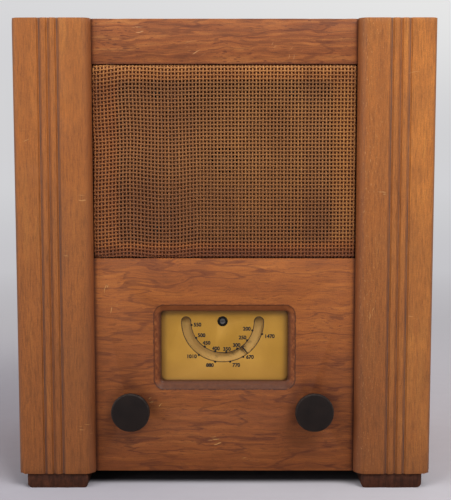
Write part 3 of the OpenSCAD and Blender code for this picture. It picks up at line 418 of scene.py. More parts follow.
def joined(*parts):
    node = put(parts[0], "GeometryNodeJoinGeometry")
    for part in reversed(parts):
        part.tree.links.new(part.socket, node.inputs[0])
    return Wire(node.outputs[0])


def tubes(paths, radius, **caps):  # round threads along curves
    outline = geo(radius, "CurvePrimitiveCircle", {"Resolution": 5, "Radius": radius})
    return geo(radius, "CurveToMesh", {"Curve": joined(*paths), "Profile Curve": outline, **caps})


def onPoints(size, instance, **more):
    return geo(instance, "InstanceOnPoints", {"Points": size["Geometry"], "Instance": instance, **more})


# Camera, light and floor

cameraLook = {"place": (0.0007, -0.8989, 0.2636), "down": 6.013, "lens": 80.1, "sensor": 36.0}
camera = newObject("camera", bpy.data.cameras.new("camera"))
camera.location = cameraLook["place"]
camera.rotation_euler = (math.radians(90 - cameraLook["down"]), 0, 0)
camera.data.sensor_fit = "AUTO"
camera.data.sensor_width = cameraLook["sensor"]
camera.data.lens = cameraLook["lens"]
bpy.context.scene.camera = camera

lampLook = {
    "key": {"place": (0.95, -1.5, 1.75), "aim": (0, 0, 0.18), "size": (1.3, 1.0), "power": 32},
    "fill": {"place": (-1.5, -1.35, 0.9), "aim": (0, 0, 0.18), "size": (1.5, 1.3), "power": 17},
    "top": {"place": (0, 0.1, 2.1), "aim": (0, 0, 0), "size": (1.8, 1.8), "power": 12},
    "rear": {"place": (0.6, 1.9, 1.2), "aim": (0, 0, 0.2), "size": (1.5, 1.2), "power": 20},
}
for name, look in lampLook.items():
    lamp = newObject(name + "_lamp", bpy.data.lights.new(name + "_lamp", "AREA"))
    lamp.data.shape = "RECTANGLE"
    lamp.data.size, lamp.data.size_y = look["size"]
    lamp.data.energy = look["power"]
    lamp.location = look["place"]
    lamp.rotation_euler = (Vector(look["aim"]) - Vector(look["place"])).to_track_quat("-Z", "Y").to_euler()

stageLook = {"floor": (188, 184, 188), "near": (176, 173, 177), "far": (203, 203, 206),
             "sky": (226, 226, 227), "horizon": (209, 209, 212), "ambient": 0.42}


def seenDirectly(tree):  # camera, mirror and glass rays
    path = put(tree, "ShaderNodeLightPath").outputs
    camera, glossy, glass = (Wire(path[f"Is {kind} Ray"]) for kind in ("Camera", "Glossy", "Transmission"))
    return calc("MAXIMUM", calc("MAXIMUM", camera, glossy), glass)


def shaderMix(share, first, second):
    return wired(first, "ShaderNodeMixShader", {0: share, 1: first, 2: second})


world = bpy.data.worlds.new("studio")
bpy.context.scene.world = world
world.use_nodes = True
tree = world.node_tree
tree.nodes.clear()
aside, _, height = split(wired(tree, "ShaderNodeTexCoord", take="Generated"))
sky = ramp(span(height, -0.02, 0.16), (0.0, stageLook["horizon"]), (1.0, stageLook["sky"]))
sky = fade(sky, aside * span(height, 0.0, 0.1), -300, 300, (0.91, 0.91, 0.92), (1.09, 1.09, 1.07))
seen = wired(tree, "ShaderNodeBackground", {"Color": sky, "Strength": 1.0})
felt = wired(tree, "ShaderNodeBackground", {"Color": tone(250, 250, 255), "Strength": stageLook["ambient"]})
put(tree, "ShaderNodeOutputWorld", {"Surface": shaderMix(seenDirectly(tree), felt, seen)})

bm = bmesh.new()
bmesh.ops.create_grid(bm, x_segments=2, y_segments=2, size=9.0)
floor = newObject("floor", toMesh(bm))
material = bpy.data.materials.new("studioFloor")
material.use_nodes = True
tree = material.node_tree
tree.nodes.clear()
coord = wired(tree, "ShaderNodeTexCoord", take="Object")
away = length(coord)
colour = mixed(span(grainy(coord, 14, 3.0), 0.35, 0.65, 0.0, 0.05), stageLook["floor"], (170, 160, 166))
floorX, floorY, _ = split(coord)
# painted shade: the floor darker on the left, as the light comes from the right
colour = fade(colour, floorX, -170, 170, (0.77, 0.77, 0.8), (0.93, 0.93, 0.93))
# a deeper shadow under the cabinet, behind the feet's front
shade = spanMm(abs(floorX), 150, 100) * spanMm(floorY, -83, -68) * spanMm(floorY, 120, 60)
colour = mixed(shade * 0.93, colour, (24, 18, 17))
lit = wired(tree, "ShaderNodeBsdfDiffuse", {"Color": colour, "Roughness": 1.0})
glow = ramp(span(away, 0.25, 5.0), (0.0, stageLook["near"]), (0.12, (196, 195, 199)), (0.5, stageLook["far"]),
            (1.0, stageLook["horizon"]))
glowing = wired(tree, "ShaderNodeEmission", {"Color": glow, "Strength": 1.0})
surface = shaderMix(span(away, 0.24, 0.75) * seenDirectly(tree), lit, glowing)
under = wired(tree, "ShaderNodeNewGeometry", take="Backfacing")
surface = shaderMix(under, surface, wired(tree, "ShaderNodeBsdfTransparent"))
put(tree, "ShaderNodeOutputMaterial", {"Surface": surface})
floor.data.materials.append(material)
bpy.context.scene.view_settings.view_transform = "Standard"
print("camera, lamps and floor ready")


# Wood

grainTurns = {"x": (0, 0, 0), "y": (0, 0, quarter), "z": (0, quarter, 0)}


def woodMaterial(name, look, extra=None):
    material, shader, coord = newMaterial(name)
    along = placed(coord, turn=grainTurns[look["grain"]], shift=look["shift"])
    sway = (grainy(along, look["patch"], 1.0) - 0.5) * (look["bend"] * mm)
    along = reckon("ADD", along, vector(0.0, sway, sway))

    def drawn(stretch, size, *more):  # noise that is drawn out along the grain
        return grainy(placed(along, stretch=(stretch, 1, 1)), look[size], *more)

    # growth rings round the middle of a trunk that lies off to one side
    far = length(placed(placed(along, turn=look["tilt"]), stretch=(0, 1, 1)))
    phase = far * (2 * math.pi / (look["ring"] * mm)) + drawn(0.12, "wobble") * look["wander"]
    figure = calc("MULTIPLY_ADD", calc("SINE", phase), 0.5, 0.5)
    patch = drawn(0.3, "patch", 3.0, 0.55)
    streak = drawn(look["long"], "streak", 3.0, 0.6, 0.15)
    fibre = drawn(look["long"], "fibre", 3.0, 0.75)
    holes = span(drawn(look["dash"], "pore", 1.0, 0.4), 0.62, 0.68)
    veins = abs(drawn(0.13, "vein", 3.0) - 0.5)
    a, b, c = look["shares"]
    colour = ramp(figure * a + patch * b + streak * c, (0.3, look["dark"]), (0.45, look["mid"]),
                  (0.58, look["warm"]), (0.74, look["light"]))
    lines = look["lines"]
    colour = tinted(colour, ramp(fibre, (0.33, 1 - 0.3 * lines), (0.5, 1.0), (0.67, 1 + 0.16 * lines)))
    colour = tinted(colour, ramp(grainy(coord, 0.8, 2.0, 0.7), (0.32, 0.84), (0.68, 1.13)))
    thin = span(veins, 0.022, 0.006) * span(fibre, 0.35, 0.6, 0.2, 1.0)
    area = span(patch, 0.4, 0.6, 0.4, 1.0)
    blotch = span(grainy(coord, 55, 4.0, 0.6), 0.35, 0.7)
    colour = layers(colour, (thin * look["veinShare"], look["poreColour"]),
                    (holes * area * look["poreShare"], look["poreColour"]),
                    (blotch * look["grime"], look["grimeColour"]))
    rough = span(fibre, 0.3, 0.7, *look["rough"])
    height = fibre * 0.5 - holes * 0.5
    if extra:
        colour, height = extra(coord, colour, height)
    dress(shader, colour, rough, height, look["depth"], Coat_Weight=look["coat"], Coat_Roughness=0.35,
          Specular_IOR_Level=look.get("shine", 0.35))
    return material


# Pale rubbed lines within round patches: places in x and z, reach, angle and seed
def scuffs(coord, colour, height, marks, pale):
    total = None
    for x, z, reach, angle, seed in marks:
        spot = flatFrom(coord, x, z)
        inside = spanMm(length(spot), reach, reach * 0.5)
        bent = vector(0.0, seed * 0.37, grainy(spot, 9, 1.0) * (5 * mm))
        turned = reckon("ADD", placed(spot, turn=(0, math.radians(angle), 0)), bent)
        lines = grainy(placed(turned, stretch=(0.09, 1, 1)), 0.9, 1.0, 0.4)
        part = inside * span(lines, 0.64, 0.69)
        total = part if total is None else calc("MAXIMUM", total, part)
    return mixed(total * 0.7, colour, pale), height - total * 0.6


# Dark pinholes and nicks scattered over a surface
def pinholes(coord, colour, height, spacing, size, share, dark):
    inputs = {"Vector": coord, "Scale": 1 / (spacing * mm), "Randomness": 1.0}
    cells = put(coord, "ShaderNodeTexVoronoi", inputs).outputs
    dots = span(Wire(cells["Distance"]), size / spacing, size * 0.5 / spacing)
    chosen = dots * calc("LESS_THAN", split(Wire(cells["Color"]))[0], share)
    return mixed(chosen * 0.8, colour, dark), height - chosen


pilasterLook = {
    "grain": "z", "shift": (0.0, 0.03, 0.021), "tilt": (0, 0.02, 0.03), "ring": 11.0, "wobble": 30.0,
    "wander": 9.0, "patch": 26, "streak": 3.0, "fibre": 1.0, "pore": 0.9, "dash": 0.1, "vein": 30,
    "veinShare": 0.08, "long": 0.08, "bend": 3, "lines": 1.05, "shares": (0.08, 0.6, 0.36),
    "dark": (144, 82, 36), "mid": (153, 87, 37), "warm": (160, 92, 39), "light": (170, 103, 45),
    "poreColour": (98, 52, 26), "poreShare": 0.22, "grime": 0.2, "grimeColour": (128, 82, 44),
    "rough": (0.5, 0.68), "coat": 0.06, "depth": 0.08,
    "grooves": ((19.5, 0.95), (26.0, 0.5), (32.5, 1.0)), "halfWidth": 152.5,  # each groove's place, and the strength of its dirt and painted shadow
}


def pilasterWear(side):
    marks = {
        -1: [(-112, 176, 6, 4, 1), (-104, 43, 8, 2, 2), (-104, 215, 5, -8, 3), (-143, 262, 6, 12, 4)],
        1: [(136, 300, 10, 8, 6), (122, 306, 6, 5, 5), (112, 220, 6, -6, 7), (138, 128, 5, 4, 8),
            (107, 132, 6, 80, 9)],
    }[side]

    def extra(coord, colour, height):
        x, y, z = split(coord)
        edge = calc("SUBTRACT", pilasterLook["halfWidth"] * mm, abs(x))
        front = spanMm(y, -89.5, -91.5)
        ragged = grainy(placed(coord, stretch=(1, 1, 0.12)), 3.0)
        for place, share in pilasterLook["grooves"]:
            # in each groove a dark line of dirt and painted shade, and beside it a band of painted shadow
            grooveDirtAndShade = near(edge, place, 0.12, 0.45) * span(ragged, 0.3, 0.6, 0.4, share)
            grooveShadow = near(edge, place + 0.6, 0.8, 0.5) * (share * 0.4)
            colour = layers(colour, (grooveDirtAndShade, (84, 52, 40)), (grooveShadow, (120, 84, 66)))
        if side > 0:
            # painted light: lighter, warmer patches on the right pilaster's front, where the light falls from
            # the right
            patchy = grainy(placed(coord, stretch=(1, 1, 0.4)), 10.0, 3.0, 0.6)
            warm = spanMm(edge, 44, 8) * span(patchy, 0.3, 0.65, 0.5, 1.0) * front * spanMm(edge, 0.2, 1.4)
            colour = tinted(colour, (1.36, 1.46, 1.36, 1.0), warm)
            flecks = span(grainy(placed(coord, stretch=(1, 1, 0.3)), 0.75, 1.0, 0.4), 0.64, 0.72)
            colour = mixed(flecks * spanMm(edge, 34, 50, 0.12, 0.4) * front, colour, (206, 152, 98))
        # painted light: darker low down and lighter towards the top
        colour = fade(colour, z, 40, 320, (0.8, 0.82, 0.92), (1.2, 1.26, 1.22))
        rim = spanMm(edge, 2.2, 0.4) * span(ragged, 0.3, 0.6, 0.2, 0.8) * front
        # painted shade on the inner rounded edge beside the panel; a darker rim on the outer edge, and darker
        # towards the foot
        colour = layers(colour, (spanMm(edge, 49, 56, 0.0, 0.5), (120, 66, 40)), (rim, (120, 84, 60)),
                        (spanMm(z, 40, 12, 0.0, 0.35) * ragged, (92, 58, 40)))
        colour, height = scuffs(coord, colour, height, marks, (204, 150, 92))
        return pinholes(coord, colour, height, 22, 0.55, 0.22, (60, 34, 22))
    return extra


for side, node, label in ((-1, "pilaster_left", "Left"), (1, "pilaster_right", "Right")):
    bm = cadCopy(node)
    roundEdges(bm, 0.6)
    sliceAlong(bm, 2, 4.0)
    wearEdges(bm, 0.35, 24, 3 + side)
    outer = side * pilasterLook["halfWidth"]
    chip(bm, [(outer, -93, 11, 5, 1.6), (side * 97, -93, 11, 6, 0.8), (outer, -93, 345.5, 3, 0.6)])
    look = {**pilasterLook, "shift": (0.02 * side, 0.03, 0.021 - 0.01 * side)}
    material = woodMaterial("pilasterWood" + label, look, pilasterWear(side))
    settle(node + "_post", toMesh(bm), material, node, flat=30)
print("pilasters done")

railLook = {
    "grain": "x", "shift": (0.06, 0.02, -0.366), "tilt": (0, 0.075, 0.02), "ring": 4.6, "wobble": 14.0,
    "wander": 22.0, "patch": 22, "streak": 2.6, "fibre": 1.1, "pore": 1.0, "dash": 0.16, "vein": 12,
    "veinShare": 0.6, "long": 0.06, "bend": 3.5, "lines": 1.15, "shares": (0.18, 0.5, 0.36),
    "dark": (114, 58, 27), "mid": (146, 80, 37), "warm": (162, 92, 43), "light": (180, 112, 56),
    "poreColour": (80, 30, 16), "poreShare": 0.7, "grime": 0.12, "grimeColour": (120, 72, 40),
    "rough": (0.5, 0.68), "coat": 0.06, "depth": 0.1,
}


def railWear(coord, colour, height):
    x, _, z = split(coord)
    # painted shade at the ends beside the pilasters and along the bottom edge above the cloth
    colour = layers(colour, (spanMm(abs(x), 94.0, 96.4, 0.0, 0.75), (74, 36, 24)),
                    (spanMm(z, 315.0, 313.2, 0.0, 0.6), (86, 44, 28)))
    marks = [(38, 329, 6, 40, 1), (52, 319, 8, 60, 2), (-62, 336, 7, 0, 3), (-20, 326, 9, 20, 4)]
    return scuffs(coord, colour, height, marks, (206, 148, 96))


bm = cadCopy("top_rail")
roundEdges(bm, 0.5)
sliceAlong(bm, 0, 5.0)
wearEdges(bm, 0.3, 20, 11)
settle("top_rail_wood", toMesh(bm), woodMaterial("railWood", railLook, railWear), "top_rail", flat=40)

panelLook = {
    **railLook, "shift": (0.01, 0.02, -0.17), "tilt": (0, 0.05, 0.03), "ring": 6.5, "wobble": 20.0,
    "shares": (0.1, 0.54, 0.4), "patch": 30, "vein": 15, "veinShare": 0.7, "bend": 6, "long": 0.045,
    "lines": 0.95, "fibre": 0.9,
    "dark": (112, 57, 25), "mid": (128, 67, 29), "warm": (139, 75, 32), "light": (156, 90, 42),
    "poreColour": (76, 32, 18), "poreShare": 0.5, "windowZ": 105.0, "windowW": 95.0, "windowH": 53.5,
}


def pastWindow(coord, inset):  # how far beyond a rectangle, inset mm inside the dial window
    x, _, z = split(coord)
    outX = abs(x) - (panelLook["windowW"] / 2 - inset) * mm
    outZ = abs(z - panelLook["windowZ"] * mm) - (panelLook["windowH"] / 2 - inset) * mm
    return length(vector(calc("MAXIMUM", outX, 0.0), 0.0, calc("MAXIMUM", outZ, 0.0)))


def panelWear(coord, colour, height):
    x, _, z = split(coord)
    # painted light: lighter towards the top
    colour = fade(colour, z, 40, 165, (1.0, 1.02, 1.0), (1.44, 1.54, 1.28))
    # the slope round the dial: ragged tones, painted shadow along its inner lip, darker low down and lighter
    # high up
    out = pastWindow(coord, 2.5) - 2.5 * mm
    ragged = grainy(coord, 3.0, 3.0, 0.6)
    edge = out - (ragged - 0.5) * (3.0 * mm)
    slope = ramp(ragged, (0.3, (92, 45, 20)), (0.48, (126, 66, 32)), (0.64, (150, 86, 44)),
                 (0.8, (168, 108, 64)))
    slope = layers(slope, (spanMm(edge, 2.6, 0.2, 0.0, 0.75), (46, 22, 13)),
                   (spanMm(z, 80, 75, 0.0, 0.85), (68, 33, 13)),
                   (spanMm(z, 130, 133, 0.0, 0.6), (176, 102, 56)))
    # painted shadow: a dark line along the slope's outer lip
    outline = near(calc("MULTIPLY_ADD", ragged, -1.0 * mm, out), 4.5, 0.2, 0.6)
    outline = outline * span(ragged, 0.35, 0.6, 0.4, 0.8)
    # painted shade at the panel's ends beside the pilasters
    colour = layers(colour, (spanMm(abs(x), 93.5, 96.4, 0.0, 0.8), (66, 32, 22)),
                    (spanMm(edge, 6.0, 4.4) * 0.9, slope), (outline, (62, 29, 16)))
    for knobX in (-69, 66):  # dark halo round the knobs: finger dirt and painted shadow
        halo = spanMm(length(flatFrom(coord, knobX, 60)), 23, 14, 0.0, 0.5)
        colour = mixed(halo * span(grainy(coord, 14, 1.0), 0.3, 0.65), colour, (70, 31, 18))
    marks = [(-52, 66.5, 6, 25, 1), (-46, 61, 5, 35, 2), (-6, 31.5, 8, 8, 3), (15, 24.5, 5, 4, 4),
             (89, 141, 6, 70, 5), (-80, 32, 5, 10, 6), (-88, 147, 6, 75, 7), (-82, 134, 5, 60, 8)]
    colour, height = scuffs(coord, colour, height, marks, (204, 154, 92))
    return pinholes(coord, colour, height, 26, 0.6, 0.25, (48, 24, 16))


def inSlope(place):  # on the slope round the dial window
    x, z = abs(place.x) / mm, abs(place.z / mm - panelLook["windowZ"])
    halfW, halfH = panelLook["windowW"] / 2, panelLook["windowH"] / 2
    return (x > halfW - 1 or z > halfH - 1) and x < halfW + 6 and z < halfH + 6


bm = cadCopy("front_panel")
roundEdges(bm, 0.5, sharp=35)
slopeFaces = [f for f in bm.faces if inSlope(f.calc_center_median()) and -0.95 < f.normal.y < -0.3]
slopeEdges = list({e for f in slopeFaces for e in f.edges if e.calc_length() > 4 * mm})
bmesh.ops.subdivide_edges(bm, edges=slopeEdges, cuts=28, use_grid_fill=True)
bm.normal_update()
for v in bm.verts:
    if inSlope(v.co) and v.co.y < -0.0762:
        wave = noise.noise(v.co / (5 * mm)) + 0.6 * noise.noise(v.co / (1.8 * mm))
        v.co += v.normal * wave * 0.22 * mm
        v.co.y = max(v.co.y, -0.0841)
settle("front_panel_wood", toMesh(bm), woodMaterial("panelWood", panelLook, panelWear), "front_panel")
print("rail and panel done")

sideLook = {
    **pilasterLook, "shift": (0.1, 0.16, 0.05), "ring": 9.0, "patch": 40, "wobble": 26.0, "wander": 18.0,
    "shares": (0.14, 0.56, 0.32), "veinShare": 0.25,
}
farSideLook = {**sideLook, "shift": (0.17, 0.16, 0.05)}
topLook = {**sideLook, "grain": "x", "shift": (0.03, 0.12, -0.3)}
baseLook = {
    **sideLook, "grain": "x", "dark": (78, 50, 32), "mid": (100, 68, 44), "warm": (118, 82, 52),
    "light": (138, 102, 68), "coat": 0.0, "rough": (0.6, 0.8), "shift": (0.0, 0.1, 0.04),
}
battenLook = {
    **sideLook, "dark": (150, 116, 78), "mid": (176, 140, 96), "warm": (192, 158, 112),
    "light": (206, 176, 132), "coat": 0.0, "rough": (0.65, 0.85), "poreShare": 0.2,
    "poreColour": (140, 104, 70), "ring": 7.0,
}


def boardWear(coord, colour, height):
    colour, height = pinholes(coord, colour, height, 30, 0.6, 0.25, (60, 34, 22))
    worn = span(grainy(placed(coord, stretch=(1, 0.1, 1)), 0.8, 1.0), 0.68, 0.72, 0.0, 0.4)
    return mixed(worn * span(grainy(coord, 60, 2.0), 0.5, 0.65), colour, (196, 142, 88)), height


for node, name, look, edge in (
        ("side_left", "sideWoodLeft", sideLook, 0.8), ("side_right", "sideWoodRight", farSideLook, 0.8),
        ("top_board", "topWood", topLook, 0.9), ("base_board", "baseWood", baseLook, 0.5)):
    bm = cadCopy(node)
    roundEdges(bm, edge, 3)
    if node != "base_board":
        sliceAlong(bm, 1, 6.0)
        wearEdges(bm, 0.3, 26, 17)
    settle(node + "_wood", toMesh(bm), woodMaterial(name, look, boardWear), node)
rounded("battens", "battens_wood", 0.4, woodMaterial("battenWood", battenLook))

footLook = {
    **sideLook, "grain": "y", "dark": (46, 23, 14), "mid": (62, 32, 20), "warm": (74, 40, 25),
    "light": (90, 52, 34), "poreColour": (28, 14, 10), "grimeColour": (78, 46, 32), "rough": (0.6, 0.8),
    "coat": 0.0, "shine": 0.2, "shares": (0.02, 0.6, 0.4), "patch": 12, "lines": 0.6,
}


def footWear(coord, colour, height):  # saw marks down the end grain
    marks = grainy(placed(coord, stretch=(1, 0.2, 0.1)), 1.6, 2.0, 0.6)
    return tinted(colour, ramp(marks, (0.36, 0.66), (0.5, 1.0), (0.68, 1.3)), 0.8), height + marks * 0.8


bm = cadCopy("feet")
roundEdges(bm, 0.7)
sliceAlong(bm, 1, 8.0)
sliceAlong(bm, 0, 5.0)
wearEdges(bm, 0.35, 12, 23)
chip(bm, [(147, -91, 0.5, 4, 1.2), (-147, -91, 0.5, 3, 0.7)])
settle("feet_wood", toMesh(bm), woodMaterial("footWood", footLook, footWear), "feet")
print("cabinet boards and feet done")

# Speaker board, woven cloth and baffle

boardLook = plain((108, 54, 22), (146, 78, 34), 18, 0.8, (0.7, 0.9), 0.08, stretch=(0.06, 1, 1))
rounded("speaker_board", "speaker_board_wood", 0.8, plainMaterial("boardStain", boardLook), 3)

clothLook = {
    "Pitch X": 2.56 * mm, "Pitch Z": 2.74 * mm, "Count X": 81, "Count Z": 57, "Thread": 0.61 * mm,
    "Lift": 0.42 * mm, "Half Wide": 95.4 * mm, "Half Tall": 69.65 * mm, "Fold": 1.8 * mm,
    "Face Y": -83.9 * mm, "Middle Z": speakerZ * mm, "Back Y": -75.9 * mm, "Sway": 2.6 * mm,
    "Ripple": 0.9 * mm, "Material": "cloth",
}


# One way over a fold: how far along, and how far back, for a point n in front of the sheet
def overFold(place, half, fold, n):
    size = abs(place)
    edge = half - fold
    past = size - edge
    angle = calc("MINIMUM", calc("MAXIMUM", past, 0.0), fold * quarter) / fold
    rest = calc("MAXIMUM", past - fold * quarter, 0.0)
    reach = fold + n
    along = (calc("MINIMUM", size, edge) + reach * calc("SINE", angle)) * calc("SIGN", place)
    return along, fold - reach * calc("COSINE", angle) + rest


def weaveTree():
    size = newTree("weave", clothLook)
    here = size["Geometry"]
    threads = []
    for upright in (True, False):
        # a grid whose lines one way are the threads, with two points to each crossing
        inputs = {}
        for way, axis in (("X", "X"), ("Y", "Z")):
            count, pitch = size["Count " + axis], size["Pitch " + axis]
            crossing = (way == "Y") == upright
            inputs["Vertices " + way] = calc("MULTIPLY_ADD", count, 2.0, 1.0) if crossing else count
            inputs["Size " + way] = count * pitch if crossing else count * pitch - pitch
        grid = geo(here, "MeshGrid", inputs)
        ends = [Wire(socket) for socket in put(here, "GeometryNodeInputMeshEdgeVertices").outputs][2:]
        across = abs(split(reckon("SUBTRACT", *ends))[0 if upright else 1])
        wrong = {"Geometry": grid, "Selection": calc("GREATER_THAN", across, 0.0001)}
        lines = geo(here, "DeleteGeometry", wrong, domain="EDGE", mode="EDGE_FACE")
        u, v, _ = split(geo(here, "InputPosition"))
        notch = calc("GREATER_THAN", abs(u), size["Half Wide"])
        notch = notch * calc("GREATER_THAN", abs(v), size["Half Tall"])
        corners = {"Geometry": lines, "Selection": notch}
        lines = geo(here, "DeleteGeometry", corners, domain="POINT", mode="ALL")
        # over one thread and under the next
        beat = u / size["Pitch X"] + v / size["Pitch Z"]
        lift = calc("COSINE", beat * math.pi) * size["Lift"]
        lift = lift if upright else lift * -1.0
        # where the cloth was pulled out of true
        slow, fast = [split(wired(here, "ShaderNodeTexNoise", {"Vector": vector(u, v, 0.37), "Scale": scale,
                                                               "Detail": detail}, "Color"))
                      for scale, detail in ((13.0, 1.0), (42.0, 2.0))]
        moveU, moveV = [(slow[k] - 0.5) * size["Sway"] * 1.6 + (fast[k] - 0.5) * size["Ripple"]
                        for k in (0, 1)]
        leftSide = spanMm(u, 10, -60, 0.15, 1.0)
        valley = near(u, -44, 3, 26) * (spanMm(v, 60, -50, 0.35, 1.0) * (2.4 * mm))
        droop = spanMm(u, -66, -97) * (2.2 * mm)
        lowered = v + moveV * leftSide - (valley + droop)
        alongU, backU = overFold(u + moveU * leftSide, size["Half Wide"], size["Fold"], lift)
        alongV, backV = overFold(lowered, size["Half Tall"], size["Fold"], lift)
        y = calc("MINIMUM", backU + backV + lift + size["Face Y"], size["Back Y"])
        place = vector(alongU, y, alongV + size["Middle Z"])
        moved = geo(here, "SetPosition", {"Geometry": lines, "Position": place})
        step = u / size["Pitch X"] + 500.0 if upright else v / size["Pitch Z"] + 900.0
        shade = {"ID": calc("ROUND", step), "Seed": 4}
        shade = wired(here, "FunctionNodeRandomValue", shade, 1, data_type="FLOAT")
        # the upright threads are painted lighter than the lying ones, standing in for the light that the
        # lying ones catch from above; the random part is each thread's own tone
        shade = shade * 0.5 + (0.42 if upright else 0.08)
        kept = geo(here, "StoreNamedAttribute", {"Geometry": moved, "Name": "yarn", "Value": shade},
                   data_type="FLOAT", domain="POINT")
        threads.append(geo(here, "MeshToCurve", {0: kept}))
    return closeTree(tubes(threads, size["Thread"], **{"Fill Caps": True}), size)


def clothMaterial():
    material, shader, coord = newMaterial("speakerCloth")
    yarn = wired(coord, "ShaderNodeAttribute", take="Fac", attribute_name="yarn")
    fibre = grainy(coord, 0.35, 2.0, 0.6)
    value = yarn * 0.4 + grainy(coord, 34, 3.0, 0.6) * 0.6
    colour = ramp(value, (0.2, (121, 76, 41)), (0.5, (151, 99, 54)), (0.8, (179, 123, 70)))
    colour = tinted(colour, ramp(fibre, (0.3, 0.72), (0.7, 1.2)), 0.6)
    # painted shade towards both sides of the opening, and darker low down; redder on the border, where the
    # board lies behind it, the border darker on the left and low down, lighter on the right and high up
    x, _, z = split(coord)
    across = ramp(spanMm(x, -79, 79), (0.0, (0.86, 0.8, 0.8, 1.0)), (0.25, (0.9, 0.86, 0.87, 1.0)),
                  (0.42, 1.0), (0.93, 1.0), (1.0, (0.9, 0.88, 0.92, 1.0)))
    up = ramp(calc("MULTIPLY_ADD", z, 8.4, -1.53), (0.05, (0.77, 0.68, 0.58, 1.0)),
              (0.32, (0.83, 0.77, 0.7, 1.0)), (0.5, 0.99), (0.62, 1.06), (0.9, 0.96), (0.97, 0.88))
    inside = tinted(tinted((1.0, 0.97, 0.76, 1.0), across), up)
    border = ramp(spanMm(x, -60, 60), (0.0, (0.93, 0.74, 0.48, 1.0)), (1.0, (1.1, 1.04, 0.72, 1.0)))
    border = layers(border, (spanMm(z, 296, 303), (1.18, 1.06, 0.76, 1.0)),
                    (spanMm(z, 189, 182), (0.96, 0.73, 0.42, 1.0)))
    outside = calc("MAXIMUM", spanMm(abs(x), 76, 80.5), spanMm(abs(z - speakerZ * mm), 57.5, 61))
    # a painted highlight along the top edge, where the threads turn up to the light, and painted shade along
    # the bottom edge
    tints = layers(inside, (outside, border), (spanMm(z, 306, 310), (1.5, 1.5, 1.25, 1.0)),
                   (spanMm(z, 181, 177), (0.62, 0.42, 0.26, 1.0)))
    dress(shader, tinted(colour, tints), span(fibre, 0.3, 0.7, 0.75, 0.95), fibre, 0.06, Sheen_Weight=0.15,
          Sheen_Roughness=0.5)
    return material


mesh = grow(weaveTree(), bpy.data.meshes.new("start"), {**clothLook, "Material": clothMaterial()})
print("cloth threads:", len(mesh.polygons) * 2, "triangles")
cloth = settle("speaker_cloth_weave", mesh, None, "speaker_cloth", smooth=180)

baffleLook = plain((92, 49, 21), (128, 72, 34), 9, 0.6, (0.8, 0.95), 0.1, ((44, 26, 16), 16, 0.5))
rounded("speaker_baffle", "speaker_baffle_board", 0.3, plainMaterial("baffleFibre", baffleLook))
print("cloth done")


# Dial

dialLook = {
    "centreX": -1.5, "centreZ": 123.0, "slotR": 27.3, "slotHalf": 3.3, "face": -75.0, "pointerAngle": 37.0,
    "line": 0.5, "ink": 0.05, "digit": 3.8, "bold": 0.16, "dot": 0.85,
    # number, angle, and its shift from the dot
    "inner": ((550, -83.3, 4.4, 0.1), (500, -57.8, 4.0, 1.8), (450, -35.0, 1.4, 2.7), (400, -13.6, 0.5, 2.0),
              (350, 6.7, 0.5, 2.1), (300, 28.0, -0.5, 2.5), (250, 52.0, -3.5, 2.0), (200, 73.0, -4.2, 1.1)),
    "outer": ((1010, -34.9, -5.4, -1.2), (880, -10.2, -4.0, -2.7), (770, 10.5, 4.6, -2.7),
              (670, 30.0, 5.0, -0.2), (1470, 72.0, 5.6, -1.8)),
}


def paintWear(coord, colour):
    x, _, z = split(coord)
    # painted shade on the recessed plate: darker low down, along the sides, along the top and bottom edges of
    # the window, and in its corners
    return layers(colour, (spanMm(z, 100, 79, 0.0, 0.5), (164, 116, 42)),
                  (spanMm(abs(x), 42, 48, 0.0, 0.7), (128, 86, 32)),
                  (spanMm(z, 126, 131.5, 0.0, 0.7), (122, 82, 30)),
                  (spanMm(z, 80.5, 78.3, 0.0, 0.6), (140, 100, 42)),
                  (spanMm(pastWindow(coord, 5), 4.2, 5.4, 0.0, 0.8), (78, 48, 20)))


paintLook = plain((175, 127, 38), (193, 143, 48), 24, 0.5, (0.42, 0.58), 0.02, ((150, 112, 54), 5, 0.35),
                  share=0.25)
rounded("dial_plate", "dial_plate_sheet", 0.18, plainMaterial("dialPaint", paintLook, paintWear))


def dialPoint(angle, radius):
    a = math.radians(angle)
    return radius * math.sin(a), -radius * math.cos(a)


def cardWear(coord, colour):  # rubs along the slot and the smudge that the pointer left
    x, z = dialPoint(dialLook["pointerAngle"], 27.0)
    x, z = dialLook["centreX"] + x, dialLook["centreZ"] + z
    for dx, dz, reach, share in ((-1.2, 0.6, 4.2, 0.75), (-9.5, -3.4, 4.0, 0.45), (3.5, 6.5, 3.4, 0.4),
                                 (-21, -6.4, 3.0, 0.3)):
        inside = spanMm(length(flatFrom(coord, x + dx, z + dz)), reach, reach * 0.2)
        rub = placed(placed(coord, turn=(0, math.radians(-28), 0)), stretch=(0.3, 1, 1))
        lines = span(grainy(rub, 1.1, 3.0, 0.6), 0.44, 0.62, 0.0, share)
        colour = mixed(inside * lines, colour, (76, 56, 36))
    return colour


cardLook = plain((190, 146, 74), (210, 166, 92), 14, 0.7, (0.7, 0.85), 0.03, ((190, 136, 78), 4, 0.4),
                 share=0.3)
rounded("dial_backing", "dial_backing_card", 0.15, plainMaterial("dialCard", cardLook, cardWear))

inkMaterial = plainMaterial("dialInk", plain((12, 9, 7), (24, 18, 14), 3, 0.4, (0.6, 0.8), 0.01))


